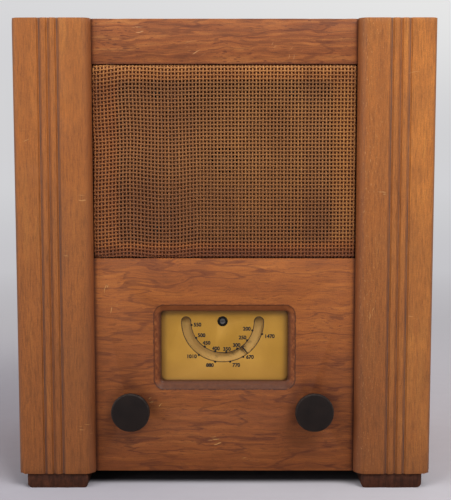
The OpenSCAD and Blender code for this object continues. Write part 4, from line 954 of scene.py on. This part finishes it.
def lineTree():  # a printed line along the edges that it is given
    size = newTree("printedLine", {"Line Width": 0.4 * mm, "Line Depth": 0.05 * mm, "Material": "ink"})
    path = geo(size["Geometry"], "MeshToCurve", {0: size["Geometry"]})
    path = geo(path, "SetCurveNormal", {0: path}, mode="Z_UP")
    shape = {"Width": size["Line Width"], "Height": size["Line Depth"]}
    shape = geo(path, "CurvePrimitiveQuadrilateral", shape, mode="RECTANGLE")
    line = geo(path, "CurveToMesh", {"Curve": path, "Profile Curve": shape, "Fill Caps": True})
    return closeTree(line, size)


def dotTree():  # small printed discs on the points that it is given
    size = newTree("printedDots", {"Dot Radius": 0.6 * mm, "Dot Depth": 0.05 * mm, "Sides": 20,
                                   "Material": "ink"})
    disc = {"Vertices": size["Sides"], "Radius": size["Dot Radius"], "Depth": size["Dot Depth"]}
    return closeTree(onPoints(size, geo(size["Sides"], "MeshCylinder", disc)), size)


def digitsMesh(text, size):
    curve = bpy.data.curves.new("digits", "FONT")
    curve.body, curve.size = str(text), size * mm
    curve.align_x, curve.align_y = "CENTER", "CENTER"
    curve.extrude = dialLook["ink"] * 0.5 * mm
    return frozen(newObject("digits", curve))


# The print is drawn in X and Y, and then stood up on the plate's face
bm = bmesh.new()
slotR, cap = dialLook["slotR"], dialLook["slotHalf"] + dialLook["line"] / 2
inner, outer = slotR - cap, slotR + cap
bends = [(cap * math.cos(math.pi * k / 12), cap * math.sin(math.pi * k / 12)) for k in range(1, 12)]
outline = [dialPoint(-90 + 3 * k, outer) for k in range(61)] + [(slotR + x, y) for x, y in bends]
outline += [dialPoint(90 - 3 * k, inner) for k in range(61)] + [(x - slotR, y) for x, y in bends]
values = {"Line Width": dialLook["line"] * mm, "Line Depth": dialLook["ink"] * mm, "Material": inkMaterial}
bm.from_mesh(grow(lineTree(), polyline([(x, y, 0) for x, y in outline], True), values))
dots = [dialPoint(angle, inner - 0.35) for _, angle, _, _ in dialLook["inner"]]
dots += [dialPoint(angle, outer + 0.35) for _, angle, _, _ in dialLook["outer"]]
values = {"Dot Radius": dialLook["dot"] * mm, "Dot Depth": dialLook["ink"] * mm, "Material": inkMaterial}
bm.from_mesh(grow(dotTree(), polyline([(x, y, 0) for x, y in dots], False), values))
for (text, _, dx, dy), (x, y) in zip(dialLook["inner"] + dialLook["outer"], dots):
    # struck five times, a little apart, to make the strokes bold
    for k, (across, up) in enumerate(((0, 0), (1, 1), (-1, 1), (1, -1), (-1, -1))):
        mesh = digitsMesh(text, dialLook["digit"])
        strike = Vector((across, up, -0.02 * k)) * dialLook["bold"]
        mesh.transform(Matrix.Translation((Vector((x + dx, y + dy, 0)) + strike) * mm))
        bm.from_mesh(mesh)
bm.transform(Matrix.Rotation(quarter, 4, "X"))
middle = Vector((dialLook["centreX"], dialLook["face"] - dialLook["ink"] * 0.4, dialLook["centreZ"]))
bm.transform(Matrix.Translation(middle * mm))
settle("dial_print", toMesh(bm), inkMaterial, body="cabinet", slot="pointer_black")

pointerLook = plain((20, 17, 16), (38, 32, 30), 5, 0.3, (0.35, 0.55), 0.02)
rounded("pointer", "pointer_blade", 0.15, plainMaterial("pointerBlack", pointerLook))
pivotLook = plain((62, 60, 60), (112, 108, 106), 2, 0.3, (0.35, 0.6), 0.03, ((30, 26, 24), 1.5, 0.6),
                  metal=0.6)


def pivotWear(coord, colour):
    out = length(flatFrom(coord, dialLook["centreX"], dialLook["centreZ"]))
    # painted shade: the screw head darkened beyond 2.2 mm from the middle, like the shadowed hole round it
    return mixed(spanMm(out, 1.8, 2.2), colour, (12, 10, 9))


rounded("pointer_screw", "pointer_screw_head", 0.3, plainMaterial("pivotSteel", pivotLook, pivotWear), 3)
print("dial done")


# Plain finishes for the works

steelLook = plain((120, 118, 114), (176, 172, 164), 4, 0.3, (0.3, 0.5), 0.02, ((96, 74, 56), 3, 0.5),
                  metal=1.0)
looks = {
    "screwSteel": {**steelLook, "light": (166, 160, 150)},
    "blackScrew": plain((34, 28, 25), (58, 48, 42), 3, 0.3, (0.5, 0.7), 0.02, metal=0.4),
    "spindleSteel": {**steelLook, "rough": (0.22, 0.4), "stain": ((110, 96, 80), 5, 0.3)},
    "brassFinish": {**steelLook, "dark": (140, 108, 52), "light": (186, 148, 78), "size": 5,
                    "rough": (0.28, 0.48), "stain": ((92, 66, 34), 3, 0.5)},
    "lampMetal": {**steelLook, "dark": (140, 138, 130), "light": (186, 182, 172)},
    "drumMetal": {**steelLook, "dark": (150, 150, 146), "light": (190, 190, 186), "rough": (0.35, 0.55),
                  "stain": ((120, 112, 96), 5, 0.35)},
    "chassisSteel": plain((126, 128, 126), (168, 170, 166), 16, 0.9, (0.42, 0.62), 0.03,
                          ((122, 92, 62), 9, 0.55), metal=0.85),
    "platedSteel": {**steelLook, "dark": (140, 138, 128), "light": (180, 178, 166), "size": 7,
                    "stain": ((112, 96, 70), 5, 0.4)},
    "vaneMetal": {**steelLook, "dark": (164, 164, 160), "light": (202, 202, 198), "rough": (0.35, 0.5),
                  "stretch": (1, 1, 0.15), "stain": ((150, 146, 136), 6, 0.3)},
    "canMetal": {**steelLook, "dark": (160, 160, 158), "light": (198, 198, 195), "size": 10, "grit": 0.35,
                 "stretch": (1, 1, 0.06), "stain": ((140, 136, 128), 7, 0.4)},
    "brownMoulding": plain((38, 24, 17), (66, 42, 28), 3.2, 0.5, (0.25, 0.45), 0.02, ((92, 78, 62), 6, 0.25)),
    "paxolin": plain((96, 56, 28), (136, 86, 44), 6, 0.35, (0.32, 0.5), 0.02, ((70, 40, 22), 5, 0.4),
                     stretch=(0.2, 1, 1)),
    "speakerSteel": plain((58, 60, 60), (88, 90, 88), 9, 0.4, (0.4, 0.6), 0.03, ((96, 66, 44), 6, 0.5),
                          metal=0.3),
    "magnetIron": plain((118, 78, 46), (160, 112, 70), 8, 0.6, (0.6, 0.85), 0.05, ((96, 60, 36), 5, 0.5)),
    "spiderCloth": plain((150, 120, 78), (186, 156, 108), 5, 0.5, (0.8, 0.95), 0.08),
    "conePaper": plain((116, 70, 38), (156, 102, 58), 8, 0.7, (0.85, 0.95), 0.1, ((96, 58, 32), 7, 0.4)),
    "grommetRubber": plain((26, 24, 24), (50, 47, 45), 4, 0.4, (0.6, 0.85), 0.04, ((84, 78, 70), 3, 0.35)),
    "coreIron": plain((52, 50, 50), (92, 88, 84), 6, 0.4, (0.4, 0.65), 0.04, ((108, 66, 40), 5, 0.6),
                      stretch=(1, 8, 1), metal=0.6),
    "coilPaper": plain((128, 94, 50), (164, 126, 74), 7, 0.6, (0.45, 0.65), 0.06, ((88, 60, 32), 5, 0.5)),
    "mica": plain((168, 160, 142), (206, 200, 184), 3, 0.3, (0.2, 0.4), 0.01),
    "electrodeMetal": plain((46, 46, 48), (84, 84, 88), 3, 0.3, (0.4, 0.6), 0.02, metal=0.8),
    "getterSilver": plain((150, 150, 152), (205, 205, 208), 5, 0.6, (0.08, 0.2), 0.01, ((70, 62, 56), 6, 0.7),
                          metal=1.0),
    "stemGlass": plain((120, 130, 128), (160, 168, 166), 3, 0.5, (0.1, 0.25), 0.01,
                       fixed={"Transmission_Weight": 0.6}),
    "copperWire": plain((120, 62, 30), (170, 98, 52), 3, 0.25, (0.3, 0.5), 0.04, metal=0.8),
    "formerCard": plain((150, 112, 66), (182, 144, 92), 4, 0.4, (0.6, 0.8), 0.04),
    "cordThread": plain((112, 88, 54), (158, 130, 86), 2, 0.2, (0.7, 0.9), 0.03),
    "glassBulb": plain((232, 236, 232), (244, 247, 244), 9, 2.0, (0.02, 0.06), 0.005,
                       fixed={"Transmission_Weight": 1.0, "IOR": 1.46}),
    "hardboard": plain((86, 60, 38), (116, 84, 56), 12, 0.55, (0.65, 0.85), 0.06, ((58, 40, 26), 14, 0.5)),
}
finish = {name: plainMaterial(name, look) for name, look in looks.items()}

# Copies of CAD nodes with their edges rounded: node, the name's ending, edge in mm, finish
copies = (
    ("dial_spacers", "brass", 0.25, "brassFinish"), ("tuning_spindle", "steel", 0.2, "spindleSteel"),
    ("volume_spindle", "steel", 0.3, "spindleSteel"), ("tuning_bush", "brass", 0.25, "brassFinish"),
    ("bush_nuts", "steel", 0.3, "screwSteel"), ("drive_drum", "metal", 0.2, "drumMetal"),
    ("drum_screw", "steel", 0.15, "screwSteel"), ("tuning_knob_screw", "grub", 0.15, "screwSteel"),
    ("volume_knob_screw", "grub", 0.15, "screwSteel"), ("volume_control", "case", 0.3, "platedSteel"),
    ("chassis_frame", "sheet", 0.25, "chassisSteel"), ("chassis_deck", "sheet", 0.25, "chassisSteel"),
    ("condenser_frame", "plates", 0.2, "platedSteel"), ("condenser_stator", "vanes", 0.12, "vaneMetal"),
    ("condenser_rotor", "vanes", 0.12, "vaneMetal"), ("valve_holders", "moulding", 0.25, "brownMoulding"),
    ("valve_bases", "moulding", 0.4, "brownMoulding"), ("tag_board", "sheet", 0.2, "paxolin"),
    ("socket_strips", "sheet", 0.3, "paxolin"), ("sockets", "brass", 0.2, "brassFinish"),
    ("mains_grommet", "rubber", 0.7, "grommetRubber"), ("speaker_frame", "steel", 0.3, "speakerSteel"),
    ("speaker_magnet", "iron", 0.8, "magnetIron"),
)
for node, ending, edge, finishName in copies:
    name = node.replace("_screw", "_grub") if ending == "grub" else node + "_" + ending
    rounded(node, name, edge, finish[finishName], 3 if edge > 0.5 else 2)
print("works copied")


# Knobs

knobLook = plain((21, 14, 12), (33, 24, 21), 9, 0.35, (0.6, 0.78), 0.015, ((40, 32, 29), 3, 0.3), share=0.3,
                 fixed={"Specular_IOR_Level": 0.18})


def knobWear(x, z):
    def extra(coord, colour):
        out = length(flatFrom(coord, x, z))
        # a lighter rim round the face: rubbed wear and a painted highlight
        edge = spanMm(out, 12.9, 13.8) * spanMm(split(coord)[1], -100.2, -101.2)
        return mixed(edge * span(grainy(coord, 2.5, 3.0), 0.35, 0.65, 0.1, 0.6), colour, (62, 52, 47))
    return extra


for node, name in (("tuning_knob", "tuningKnobMoulding"), ("volume_knob", "volumeKnobMoulding")):
    low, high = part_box(node)
    x, z = (low.x + high.x) / 2 / mm, (low.z + high.z) / 2 / mm
    rounded(node, node + "_moulding", 0.35, plainMaterial(name, knobLook, knobWear(x, z)), 3)
print("knobs done")


# Screws: where the CAD has them, grown by one tree

screwLooks = {  # head radius, head height, slot, shank radius, in mm
    "back_screws": ("back_screw_heads", 3.35, 2.0, 0.8, 1.7),
    "wood_screws": ("wood_screw_heads", 3.35, 2.0, 0.8, 1.7),
    "chassis_bolts": ("chassis_bolt_heads", 5.0, 2.8, 1.2, 2.5),
    "speaker_bolts": ("speaker_bolt_heads", 3.6, 2.4, 0.9, 2.0),
}


def islands(bm):
    left, groups = set(bm.verts), []
    while left:
        stack = [left.pop()]
        group = list(stack)
        while stack:
            for edge in stack.pop().link_edges:
                for v in edge.verts:
                    if v in left:
                        left.remove(v)
                        group.append(v)
                        stack.append(v)
        low, high = (Vector([choose(v.co[k] for v in group) for k in range(3)]) for choose in (min, max))
        groups.append((group, low, high))
    return sorted(groups, key=lambda g: tuple(g[1]))


def screwTree():
    size = newTree("slottedScrew", {"Head Radius": 3.3 * mm, "Head Height": 2.0 * mm, "Slot Width": 0.8 * mm,
                                    "Shank Radius": 1.7 * mm, "Seed": 3, "Material": "steel"})
    radius, tall = size["Head Radius"], size["Head Height"]
    dome = geo(radius, "MeshUVSphere", {"Segments": 28, "Rings": 14, "Radius": radius})
    x, y, z = split(geo(radius, "InputPosition"))
    up = calc("MAXIMUM", z / radius * tall, 0.0)
    dome = geo(radius, "SetPosition", {"Geometry": dome, "Position": vector(x, y, up)})
    cutter = geo(radius, "MeshCube", {"Size": vector(radius * 3.0, size["Slot Width"], tall)})
    cutter = geo(radius, "Transform", {"Geometry": cutter, "Translation": vector(0.0, 0.0, tall * 1.05)})
    head = geo(radius, "MeshBoolean", {0: dome, 1: cutter}, operation="DIFFERENCE")
    reach = geo(radius, "InputNamedAttribute", {"Name": "reach"}, data_type="FLOAT")
    stem = geo(radius, "MeshCylinder", {"Vertices": 16, "Radius": size["Shank Radius"], "Depth": 1.0})
    stem = geo(radius, "Transform", {"Geometry": stem, "Translation": (0, 0, -0.5)})
    aim = geo(radius, "InputNamedAttribute", {"Name": "aim"}, data_type="FLOAT_VECTOR")
    turn = wired(radius, "FunctionNodeAlignRotationToVector", {"Vector": aim}, axis="Z")
    spin = wired(radius, "FunctionNodeRandomValue", {"Seed": size["Seed"], 3: 3.1416}, 1, data_type="FLOAT")
    about = wired(radius, "FunctionNodeAxisAngleToRotation", {"Axis": (0, 0, 1), "Angle": spin})
    turn = wired(radius, "FunctionNodeRotateRotation", {0: turn, 1: about}, rotation_space="LOCAL")
    heads = onPoints(size, head, Rotation=turn)
    stems = onPoints(size, stem, Rotation=turn, Scale=vector(1.0, 1.0, reach))
    return closeTree(joined(heads, stems), size)


# The seats of the screws in a node, and the rest of it, its nuts
def findScrews(node, headHeight):
    bm = cadCopy(node)
    seats, aims, reaches, gone = [], [], [], []
    for group, low, high in islands(bm):
        size = high - low
        axis = max(range(3), key=lambda k: size[k])
        if size[axis] < 1.2 * sorted(size)[1]:
            continue
        middle = (low + high) / 2
        ends = []
        for sign, end in ((-1, low[axis]), (1, high[axis])):
            close = [v for v in group if abs(v.co[axis] - end) < headHeight * mm]
            wide = max((v.co - middle).length_squared - (v.co[axis] - middle[axis]) ** 2 for v in close)
            ends.append((wide, sign, end))
        _, sign, end = max(ends)
        aim = Vector((0, 0, 0))
        aim[axis] = sign
        seat = middle.copy()
        seat[axis] = end - sign * headHeight * mm
        seats.append(seat)
        aims.append(aim)
        reaches.append(size[axis] - headHeight * mm)
        gone += group
    bmesh.ops.delete(bm, geom=gone, context="VERTS")
    mesh = bpy.data.meshes.new("seats")
    mesh.from_pydata(seats, [], [])
    aims = [c for aim in aims for c in aim]
    mesh.attributes.new("aim", "FLOAT_VECTOR", "POINT").data.foreach_set("vector", aims)
    mesh.attributes.new("reach", "FLOAT", "POINT").data.foreach_set("value", reaches)
    return mesh, bm


tree = screwTree()
for k, (node, (name, radius, height, slot, shank)) in enumerate(screwLooks.items()):
    start, bm = findScrews(node, height)
    roundEdges(bm, 0.3)
    steel = finish["blackScrew" if node == "speaker_bolts" else "screwSteel"]
    values = {"Head Radius": radius * mm, "Head Height": height * mm, "Slot Width": slot * mm,
              "Shank Radius": shank * mm, "Seed": 3 + k, "Material": steel}
    bm.from_mesh(grow(tree, start, values))
    settle(name, toMesh(bm), steel, node, smooth=40)
print("screws done")


# Drive cord, three strands round the drum and the spindle

cordLook = {"Lay": 2.6 * mm, "Strand Offset": 0.25 * mm, "Strand Radius": 0.25 * mm, "Step": 0.4 * mm,
            "Material": "thread"}
loopLook = {"drum": (-1.5, 123.0), "drumR": 21.5, "pin": (66.0, 59.5), "pinR": 3.07, "y": -65.0}


def loopPoints(look):
    one, two = Vector(look["drum"]), Vector(look["pin"])
    line = two - one
    heading = math.atan2(line.y, line.x)
    tilt = math.acos((look["drumR"] - look["pinR"]) / line.length)
    points = []
    for middle, radius, first, last in ((one, look["drumR"], heading + tilt, heading + 2 * math.pi - tilt),
                                        (two, look["pinR"], heading - tilt, heading + tilt)):
        count = max(14, round((last - first) * radius))
        for k in range(count + 1):
            a = first + (last - first) * k / count
            points.append((middle.x + radius * math.cos(a), look["y"], middle.y + radius * math.sin(a)))
    return points


def cordTree():
    size = newTree("twistedCord", cordLook)
    path = geo(size["Step"], "MeshToCurve", {0: size["Geometry"]})
    path = geo(path, "ResampleCurve", {"Curve": path, "Length": size["Step"]}, mode="LENGTH")
    turns = wired(path, "GeometryNodeSplineParameter", take="Length") / size["Lay"]
    side = reckon("CROSS_PRODUCT", geo(path, "InputTangent"), (0, 1, 0))
    strands = []
    for k in range(3):
        angle = calc("MULTIPLY_ADD", turns, 2 * math.pi, k * 2 * math.pi / 3)
        out, up = (calc(wave, angle) * size["Strand Offset"] for wave in ("COSINE", "SINE"))
        move = wired(path, "ShaderNodeVectorMath", {0: side, "Scale": out}, operation="SCALE")
        move = reckon("ADD", move, vector(0.0, up, 0.0))
        strands.append(geo(path, "SetPosition", {"Geometry": path, "Offset": move}))
    return closeTree(tubes(strands, size["Strand Radius"]), size)


mesh = grow(cordTree(), polyline(loopPoints(loopLook), True), {**cordLook, "Material": finish["cordThread"]})
settle("drive_cord_strands", mesh, finish["cordThread"], "drive_cord", smooth=180)


# Transformers: stamped sheets in a stack, and a wrapped coil

sheetLook = {"Sheets": 40, "Pitch": 0.75 * mm, "Thickness": 0.62 * mm, "Loose": 0.12 * mm, "Seed": 5,
             "Material": "iron"}


def sheetStackTree():
    size = newTree("sheetStack", sheetLook)
    flat = size["Geometry"]
    offset = vector(0.0, size["Pitch"], 0.0)
    line = geo(flat, "MeshLine", {"Count": size["Sheets"], "Offset": offset}, mode="OFFSET")
    inputs = {"Mesh": flat, "Offset": vector(0.0, size["Thickness"], 0.0), "Offset Scale": 1.0,
              "Individual": False}
    cut = geo(flat, "ExtrudeMesh", inputs, mode="FACES")
    sheet = joined(cut, geo(flat, "FlipFaces", {0: flat}))
    sheet = geo(flat, "MergeByDistance", {"Geometry": sheet, "Distance": 0.001 * mm})
    inputs = {"Seed": size["Seed"], 0: (-1, 0, -1), 1: (1, 0, 1)}
    move = wired(flat, "FunctionNodeRandomValue", inputs, data_type="FLOAT_VECTOR")
    move = wired(flat, "ShaderNodeVectorMath", {0: move, "Scale": size["Loose"]}, operation="SCALE")
    stack = geo(flat, "InstanceOnPoints", {"Points": line, "Instance": sheet})
    return closeTree(geo(flat, "TranslateInstances", {"Instances": stack, "Translation": move}), size)


def coreSheet(low, high, limb):  # one stamped sheet with its two windows, facing forwards
    bm = bmesh.new()
    x0, x1, z0, z1, y = low[0] * mm, high[0] * mm, low[2] * mm, high[2] * mm, low[1] * mm
    a, c = limb * mm, (x0 + x1) / 2
    xs = (x0, x0 + a, c - a, c + a, x1 - a, x1)
    zs = (z0, z0 + a, z1 - a, z1)
    grid = {(i, k): bm.verts.new((xv, y, zv)) for i, xv in enumerate(xs) for k, zv in enumerate(zs)}
    for i in range(5):
        for k in range(3):
            if k != 1 or i % 2 == 0:
                bm.faces.new((grid[i, k], grid[i + 1, k], grid[i + 1, k + 1], grid[i, k + 1]))
    bmesh.ops.dissolve_limit(bm, angle_limit=0.01, verts=bm.verts, edges=bm.edges)
    return toMesh(bm)


def wrappedCoil(low, high):
    bm = bmesh.new()
    boxInto(bm, low, high)
    bmesh.ops.recalc_face_normals(bm, faces=bm.faces)
    bevel(bm, [e for e in bm.edges if abs(e.verts[0].co.z - e.verts[1].co.z) > 1 * mm], 5, 5)
    roundEdges(bm, 1.2, 2, sharp=60)
    sliceAlong(bm, 2, 2.0)
    middle, half = (Vector(low) + Vector(high)) / 2 * mm, (high[2] - low[2]) / 2 * mm
    for v in bm.verts:
        bulge = 1 - ((v.co.z - middle.z) / half) ** 2
        out = Vector((v.co.x - middle.x, v.co.y - middle.y, 0)).normalized()
        v.co -= out * (0.9 * (1 - bulge) + 0.2 * noise.noise(v.co / (4 * mm))) * mm
    return toMesh(bm)


boltProfile = ((0, 1.8), (2.2, 1.5), (2.8, 0.6), (2.8, -0.4), (0, -0.4))
tree = sheetStackTree()
coreLook = {  # corners of the core, width of its limbs, corners of the coil on it
    "mains_core": ((49.5, 28, 80.5), (115.5, 58, 135.5), 11, None),
    "output_transformer": ((-122.5, 5, 80.5), (-80.5, 23, 115.5), 7,
                           ((-115.2, -1, 87.8), (-87.8, 29, 108.2))),
}
for node, (low, high, limb, coil) in coreLook.items():
    sheets = round((high[1] - low[1]) * mm / sheetLook["Pitch"])
    values = {**sheetLook, "Sheets": sheets, "Material": finish["coreIron"]}
    bm = bmesh.new()
    bm.from_mesh(grow(tree, coreSheet(low, high, limb), values))
    for x in (low[0] + limb / 2, high[0] - limb / 2):  # through bolts
        for z in (low[2] + limb / 2, high[2] - limb / 2):
            for y, sign in ((low[1], -1), (high[1], 1)):
                lathe(bm, [(r, sign * d) for r, d in boltProfile], (x, y, z), steps=6 if sign > 0 else 20)
    material = finish["coreIron"]
    if coil:
        iron = len(bm.faces)
        bm.from_mesh(wrappedCoil(*coil))
        bm.faces.ensure_lookup_table()
        mark(bm.faces[iron:], 1)
        material = [finish["coreIron"], finish["coilPaper"]]
    settle(node + "_sheets", toMesh(bm), material, node)
mainsCoil = wrappedCoil((60.8, 18, 91.8), (104.2, 68, 124.2))
settle("mains_coil_wrap", mainsCoil, finish["coilPaper"], "mains_coil")
print("cord and transformers done")


# Valves: glass, and the electrodes in it

valveLook = {  # middle x, middle y, top of the glass, top of the electrodes
    "places": ((-63.5, -13, 168, 145.8), (-63.5, 56, 168, 145.8), (-19.5, 57, 176, 153.8),
               (22.5, 53, 176, 153.8)),
    "foot": 115.5, "anodeR": 8.0, "rib": 0.5, "wall": 0.5, "wingX": 9.2, "wingHalf": 1.7, "postX": 9.6,
    "gridY": 4.2, "micaR": 11.8, "mica": 0.5, "tooth": 1.0, "teeth": 20,
    "stem": ((0, 100), (9, 100), (9, 106), (6, 108.5), (4, 111), (2.8, 112), (0, 112)),
}
bulbs = toMesh(cadCopy("valve_envelopes"))
settle("valve_envelopes_glass", bulbs, finish["glassBulb"], "valve_envelopes", smooth=50)


def rod(bm, x, y, radius, low, high, steps=8):
    lathe(bm, [(0, low), (radius, low), (radius, high), (0, high)], (x, y, 0), "z", steps)


def toothedMica(bm, x, y, z):
    rings, count = [], valveLook["teeth"] * 4
    for level in (z, z + valveLook["mica"]):
        ring = []
        for k in range(count):
            r = valveLook["micaR"] - (valveLook["tooth"] if k % 4 in (0, 1) else 0.0)
            a = 2 * math.pi * k / count
            ring.append(bm.verts.new(Vector((x + r * math.cos(a), y + r * math.sin(a), level)) * mm))
        rings.append(ring)
    under, over = rings
    made = [bm.faces.new(over), bm.faces.new(under[::-1])]
    for k in range(count):
        after = (k + 1) % count
        made.append(bm.faces.new((under[k], under[after], over[after], over[k])))
    return made


bm = bmesh.new()
for x, y, _, top in valveLook["places"]:
    low, high = valveLook["foot"], top - 4.5
    # anode with pressed ribs, and its two side wings
    ribbed = [(valveLook["anodeR"] - 0.8 + (valveLook["rib"] if k % 4 in (1, 2) else 0.0),
               low + (high - low) * k / 24) for k in range(25)]
    inside = [(r - valveLook["wall"], z) for r, z in reversed(ribbed)]
    lathe(bm, ribbed + inside, (x, y, 0), "z", 32, closed=True)
    for sign in (-1, 1):
        wingX, half = x + sign * valveLook["wingX"], valveLook["wingHalf"]
        boxInto(bm, (wingX - half, y - 0.3, low + 2), (wingX + half, y + 0.3, high - 2))
        rod(bm, x + sign * valveLook["postX"], y, 0.5, low - 6, top + 3)
        rod(bm, x, y + sign * valveLook["gridY"], 0.35, low - 6, top + 1)
    rod(bm, x, y, 1.4, low - 4, top, 16)
    for z in (low - 1.2, high + 0.6):
        mark(toothedMica(bm, x, y, z), 1)
    mark(lathe(bm, valveLook["stem"], (x, y, 0), "z", 24), 2)
bmesh.ops.triangulate(bm, faces=[f for f in bm.faces if len(f.verts) > 4])
settle("valve_electrodes_metal", toMesh(bm),
       [finish["electrodeMetal"], finish["mica"], finish["stemGlass"]], "valve_electrodes")

# Getter flash inside the top of each bulb: it hangs down from the top, with a ragged edge
getterLook = {"middle": 18, "down": 9, "ragged": 1.5, "patch": 5, "inset": 1.3}
bm = cadCopy("valve_envelopes")
bm.normal_update()
gone = []
for face in bm.faces:
    c = face.calc_center_median()
    x, y, top, _ = min(valveLook["places"], key=lambda p: (c.x - p[0] * mm) ** 2 + (c.y - p[1] * mm) ** 2)
    outward = face.normal.dot(c - Vector((x, y, top - getterLook["middle"])) * mm)
    ragged = getterLook["ragged"] * noise.noise(c / (getterLook["patch"] * mm))
    if outward < 0 or c.z < (top - getterLook["down"] - ragged) * mm:
        gone.append(face)
bmesh.ops.delete(bm, geom=gone, context="FACES")
bmesh.ops.recalc_face_normals(bm, faces=bm.faces)
bm.normal_update()
for v, move in [(v, v.normal * -getterLook["inset"] * mm) for v in bm.verts]:
    v.co += move
settle("valve_getters", toMesh(bm), finish["getterSilver"], body="cabinet", slot="electrode_metal", smooth=60)
print("valves done")


# Cans, small parts and the lamp

smallLook = {"canTop": 138.5, "canBase": 86.6, "lampNeck": 94.3, "partY": 37.0, "wire": (170, 166, 156)}
bm = cadCopy("coil_cans")
for group, low, high in islands(bm):  # the can, the former in it, and the winding
    size = (high - low) / mm
    mark({f for v in group for f in v.link_faces}, 0 if size.x > 25 else 1 if size.z > 40 else 2)
edges = [e for e in bm.edges if e.verts[0].link_faces[0].material_index == 0 and len(e.link_faces) == 2
         and e.calc_face_angle(0) > 0.6 and e.calc_length() > 3 * mm]
bevel(bm, edges, 0.4, clamp_overlap=True)
ring = ((4.2, -0.2), (4.5, 0.5), (5.3, 0.8), (6.1, 0.5), (6.4, -0.2))  # pressed round the adjuster's hole
for x, y in ((-63.5, 21.5), (-25.5, 22.5)):
    lathe(bm, ring, (x, y, smallLook["canTop"]), "z", 40, closed=True)
settle("coil_cans_shells", toMesh(bm), [finish["canMetal"], finish["formerCard"], finish["copperWire"]],
       "coil_cans")

bm = cadCopy("smoothing_can")
mark([f for f in bm.faces if f.calc_center_median().z < smallLook["canBase"] * mm], 1)
roundEdges(bm, 0.5)
settle("smoothing_can_shell", toMesh(bm), [finish["canMetal"], finish["paxolin"]], "smoothing_can")

bm = cadCopy("dial_lamp")
mark([f for f in bm.faces if f.calc_center_median().z > smallLook["lampNeck"] * mm], 1)
roundEdges(bm, 0.2, sharp=50)
settle("dial_lamp_holder", toMesh(bm), [finish["lampMetal"], finish["glassBulb"]], "dial_lamp", smooth=50)

codeTones = ((0.0, (150, 44, 30)), (0.2, (58, 36, 24)), (0.4, (196, 168, 52)), (0.55, (60, 104, 62)),
             (0.7, (44, 66, 120)), (0.85, (190, 98, 40)))


def resistorCode(coord, colour):
    x, y, _ = split(coord)
    number = calc("FLOOR", (x + 49 * mm) / (9 * mm))
    picks = []
    for k in range(3):
        inputs = {"Vector": vector(number, k * 3.7, 0.5)}
        value = wired(coord, "ShaderNodeTexWhiteNoise", inputs, "Value", noise_dimensions="3D")
        picks.append(ramp(value, *codeTones, interpolation="CONSTANT"))
    return layers(colour, (0.8, picks[0]), (spanMm(y, 40.4, 40.8), picks[1]),
                  (near(y, 36, 1.4, 0.3), picks[2]),
                  (spanMm(abs(y - smallLook["partY"] * mm), 8.0, 8.1), smallLook["wire"]))


def waxWear(coord, colour):
    away = abs(split(coord)[1] - smallLook["partY"] * mm)
    return layers(colour, (spanMm(away, 12.6, 13.6) * 0.85, (42, 32, 26)),
                  (spanMm(away, 14.1, 14.2), smallLook["wire"]))


bodyLook = plain((120, 96, 66), (160, 132, 92), 4, 0.4, (0.4, 0.6), 0.02)
waxLook = plain((140, 98, 48), (184, 140, 78), 6, 0.8, (0.3, 0.5), 0.06, ((96, 62, 32), 4, 0.4))
for node, edge, material in (
        ("resistors", 0.5, plainMaterial("resistorPaint", bodyLook, resistorCode)),
        ("paper_capacitors", 0.8, plainMaterial("waxedPaper", waxLook, waxWear))):
    rounded(node, node + "_bodies", edge, material, 3, 60)


# Loudspeaker

coneLook = {"outR": 61.6, "inR": 10.8, "frontY": -68.8, "backY": -34.0, "thick": 0.5, "ribs": 11, "rib": 0.3,
            "tubeR": 10.4, "tubeY": -15.0, "steps": 96}


def coneProfile(look):
    front = []
    for k in range(look["steps"] + 1):
        t = k / look["steps"]
        rib = look["rib"] * math.sin(2 * math.pi * look["ribs"] * t) * (1 if t < 0.62 else 0.0)
        r = look["outR"] + (look["inR"] - look["outR"]) * t
        y = look["frontY"] + (look["backY"] - look["frontY"]) * t
        front.append((r, y + 0.35 + rib))
    back = [(r, y + look["thick"]) for r, y in front]
    tubeR, tubeY = look["tubeR"], look["tubeY"]
    tube = [(look["inR"], tubeY), (tubeR, tubeY), (tubeR, look["backY"] + 0.3)]
    return back + tube + front[::-1]


bm = bmesh.new()
lathe(bm, coneProfile(coneLook), (0, 0, speakerZ), "y", 96, closed=True)
settle("speaker_cone_paper", toMesh(bm), finish["conePaper"], "speaker_cone", smooth=60)
bm = bmesh.new()
rings = [(26 - 14.8 * k / 60, -28.0 + 0.35 * math.sin(2 * math.pi * 6 * k / 60)) for k in range(61)]
profile = [(r, y - 0.12) for r, y in rings] + [(r, y + 0.12) for r, y in reversed(rings)]
lathe(bm, profile, (0, 0, speakerZ), "y", 72, closed=True)
settle("speaker_spider_cloth", toMesh(bm), finish["spiderCloth"], "speaker_spider", smooth=60)

bm = cadCopy("back_cover")
low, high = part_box("back_cover")
roundEdges(bm, 0.35, keep=lambda p: min(p.x - low[0], high[0] - p.x, p.z - low[2], high[2] - p.z) < 1 * mm)
bmesh.ops.triangulate(bm, faces=[f for f in bm.faces if len(f.verts) > 4], ngon_method="BEAUTY")
settle("back_cover_board", toMesh(bm), finish["hardboard"], "back_cover", flat=4)
print("works done")
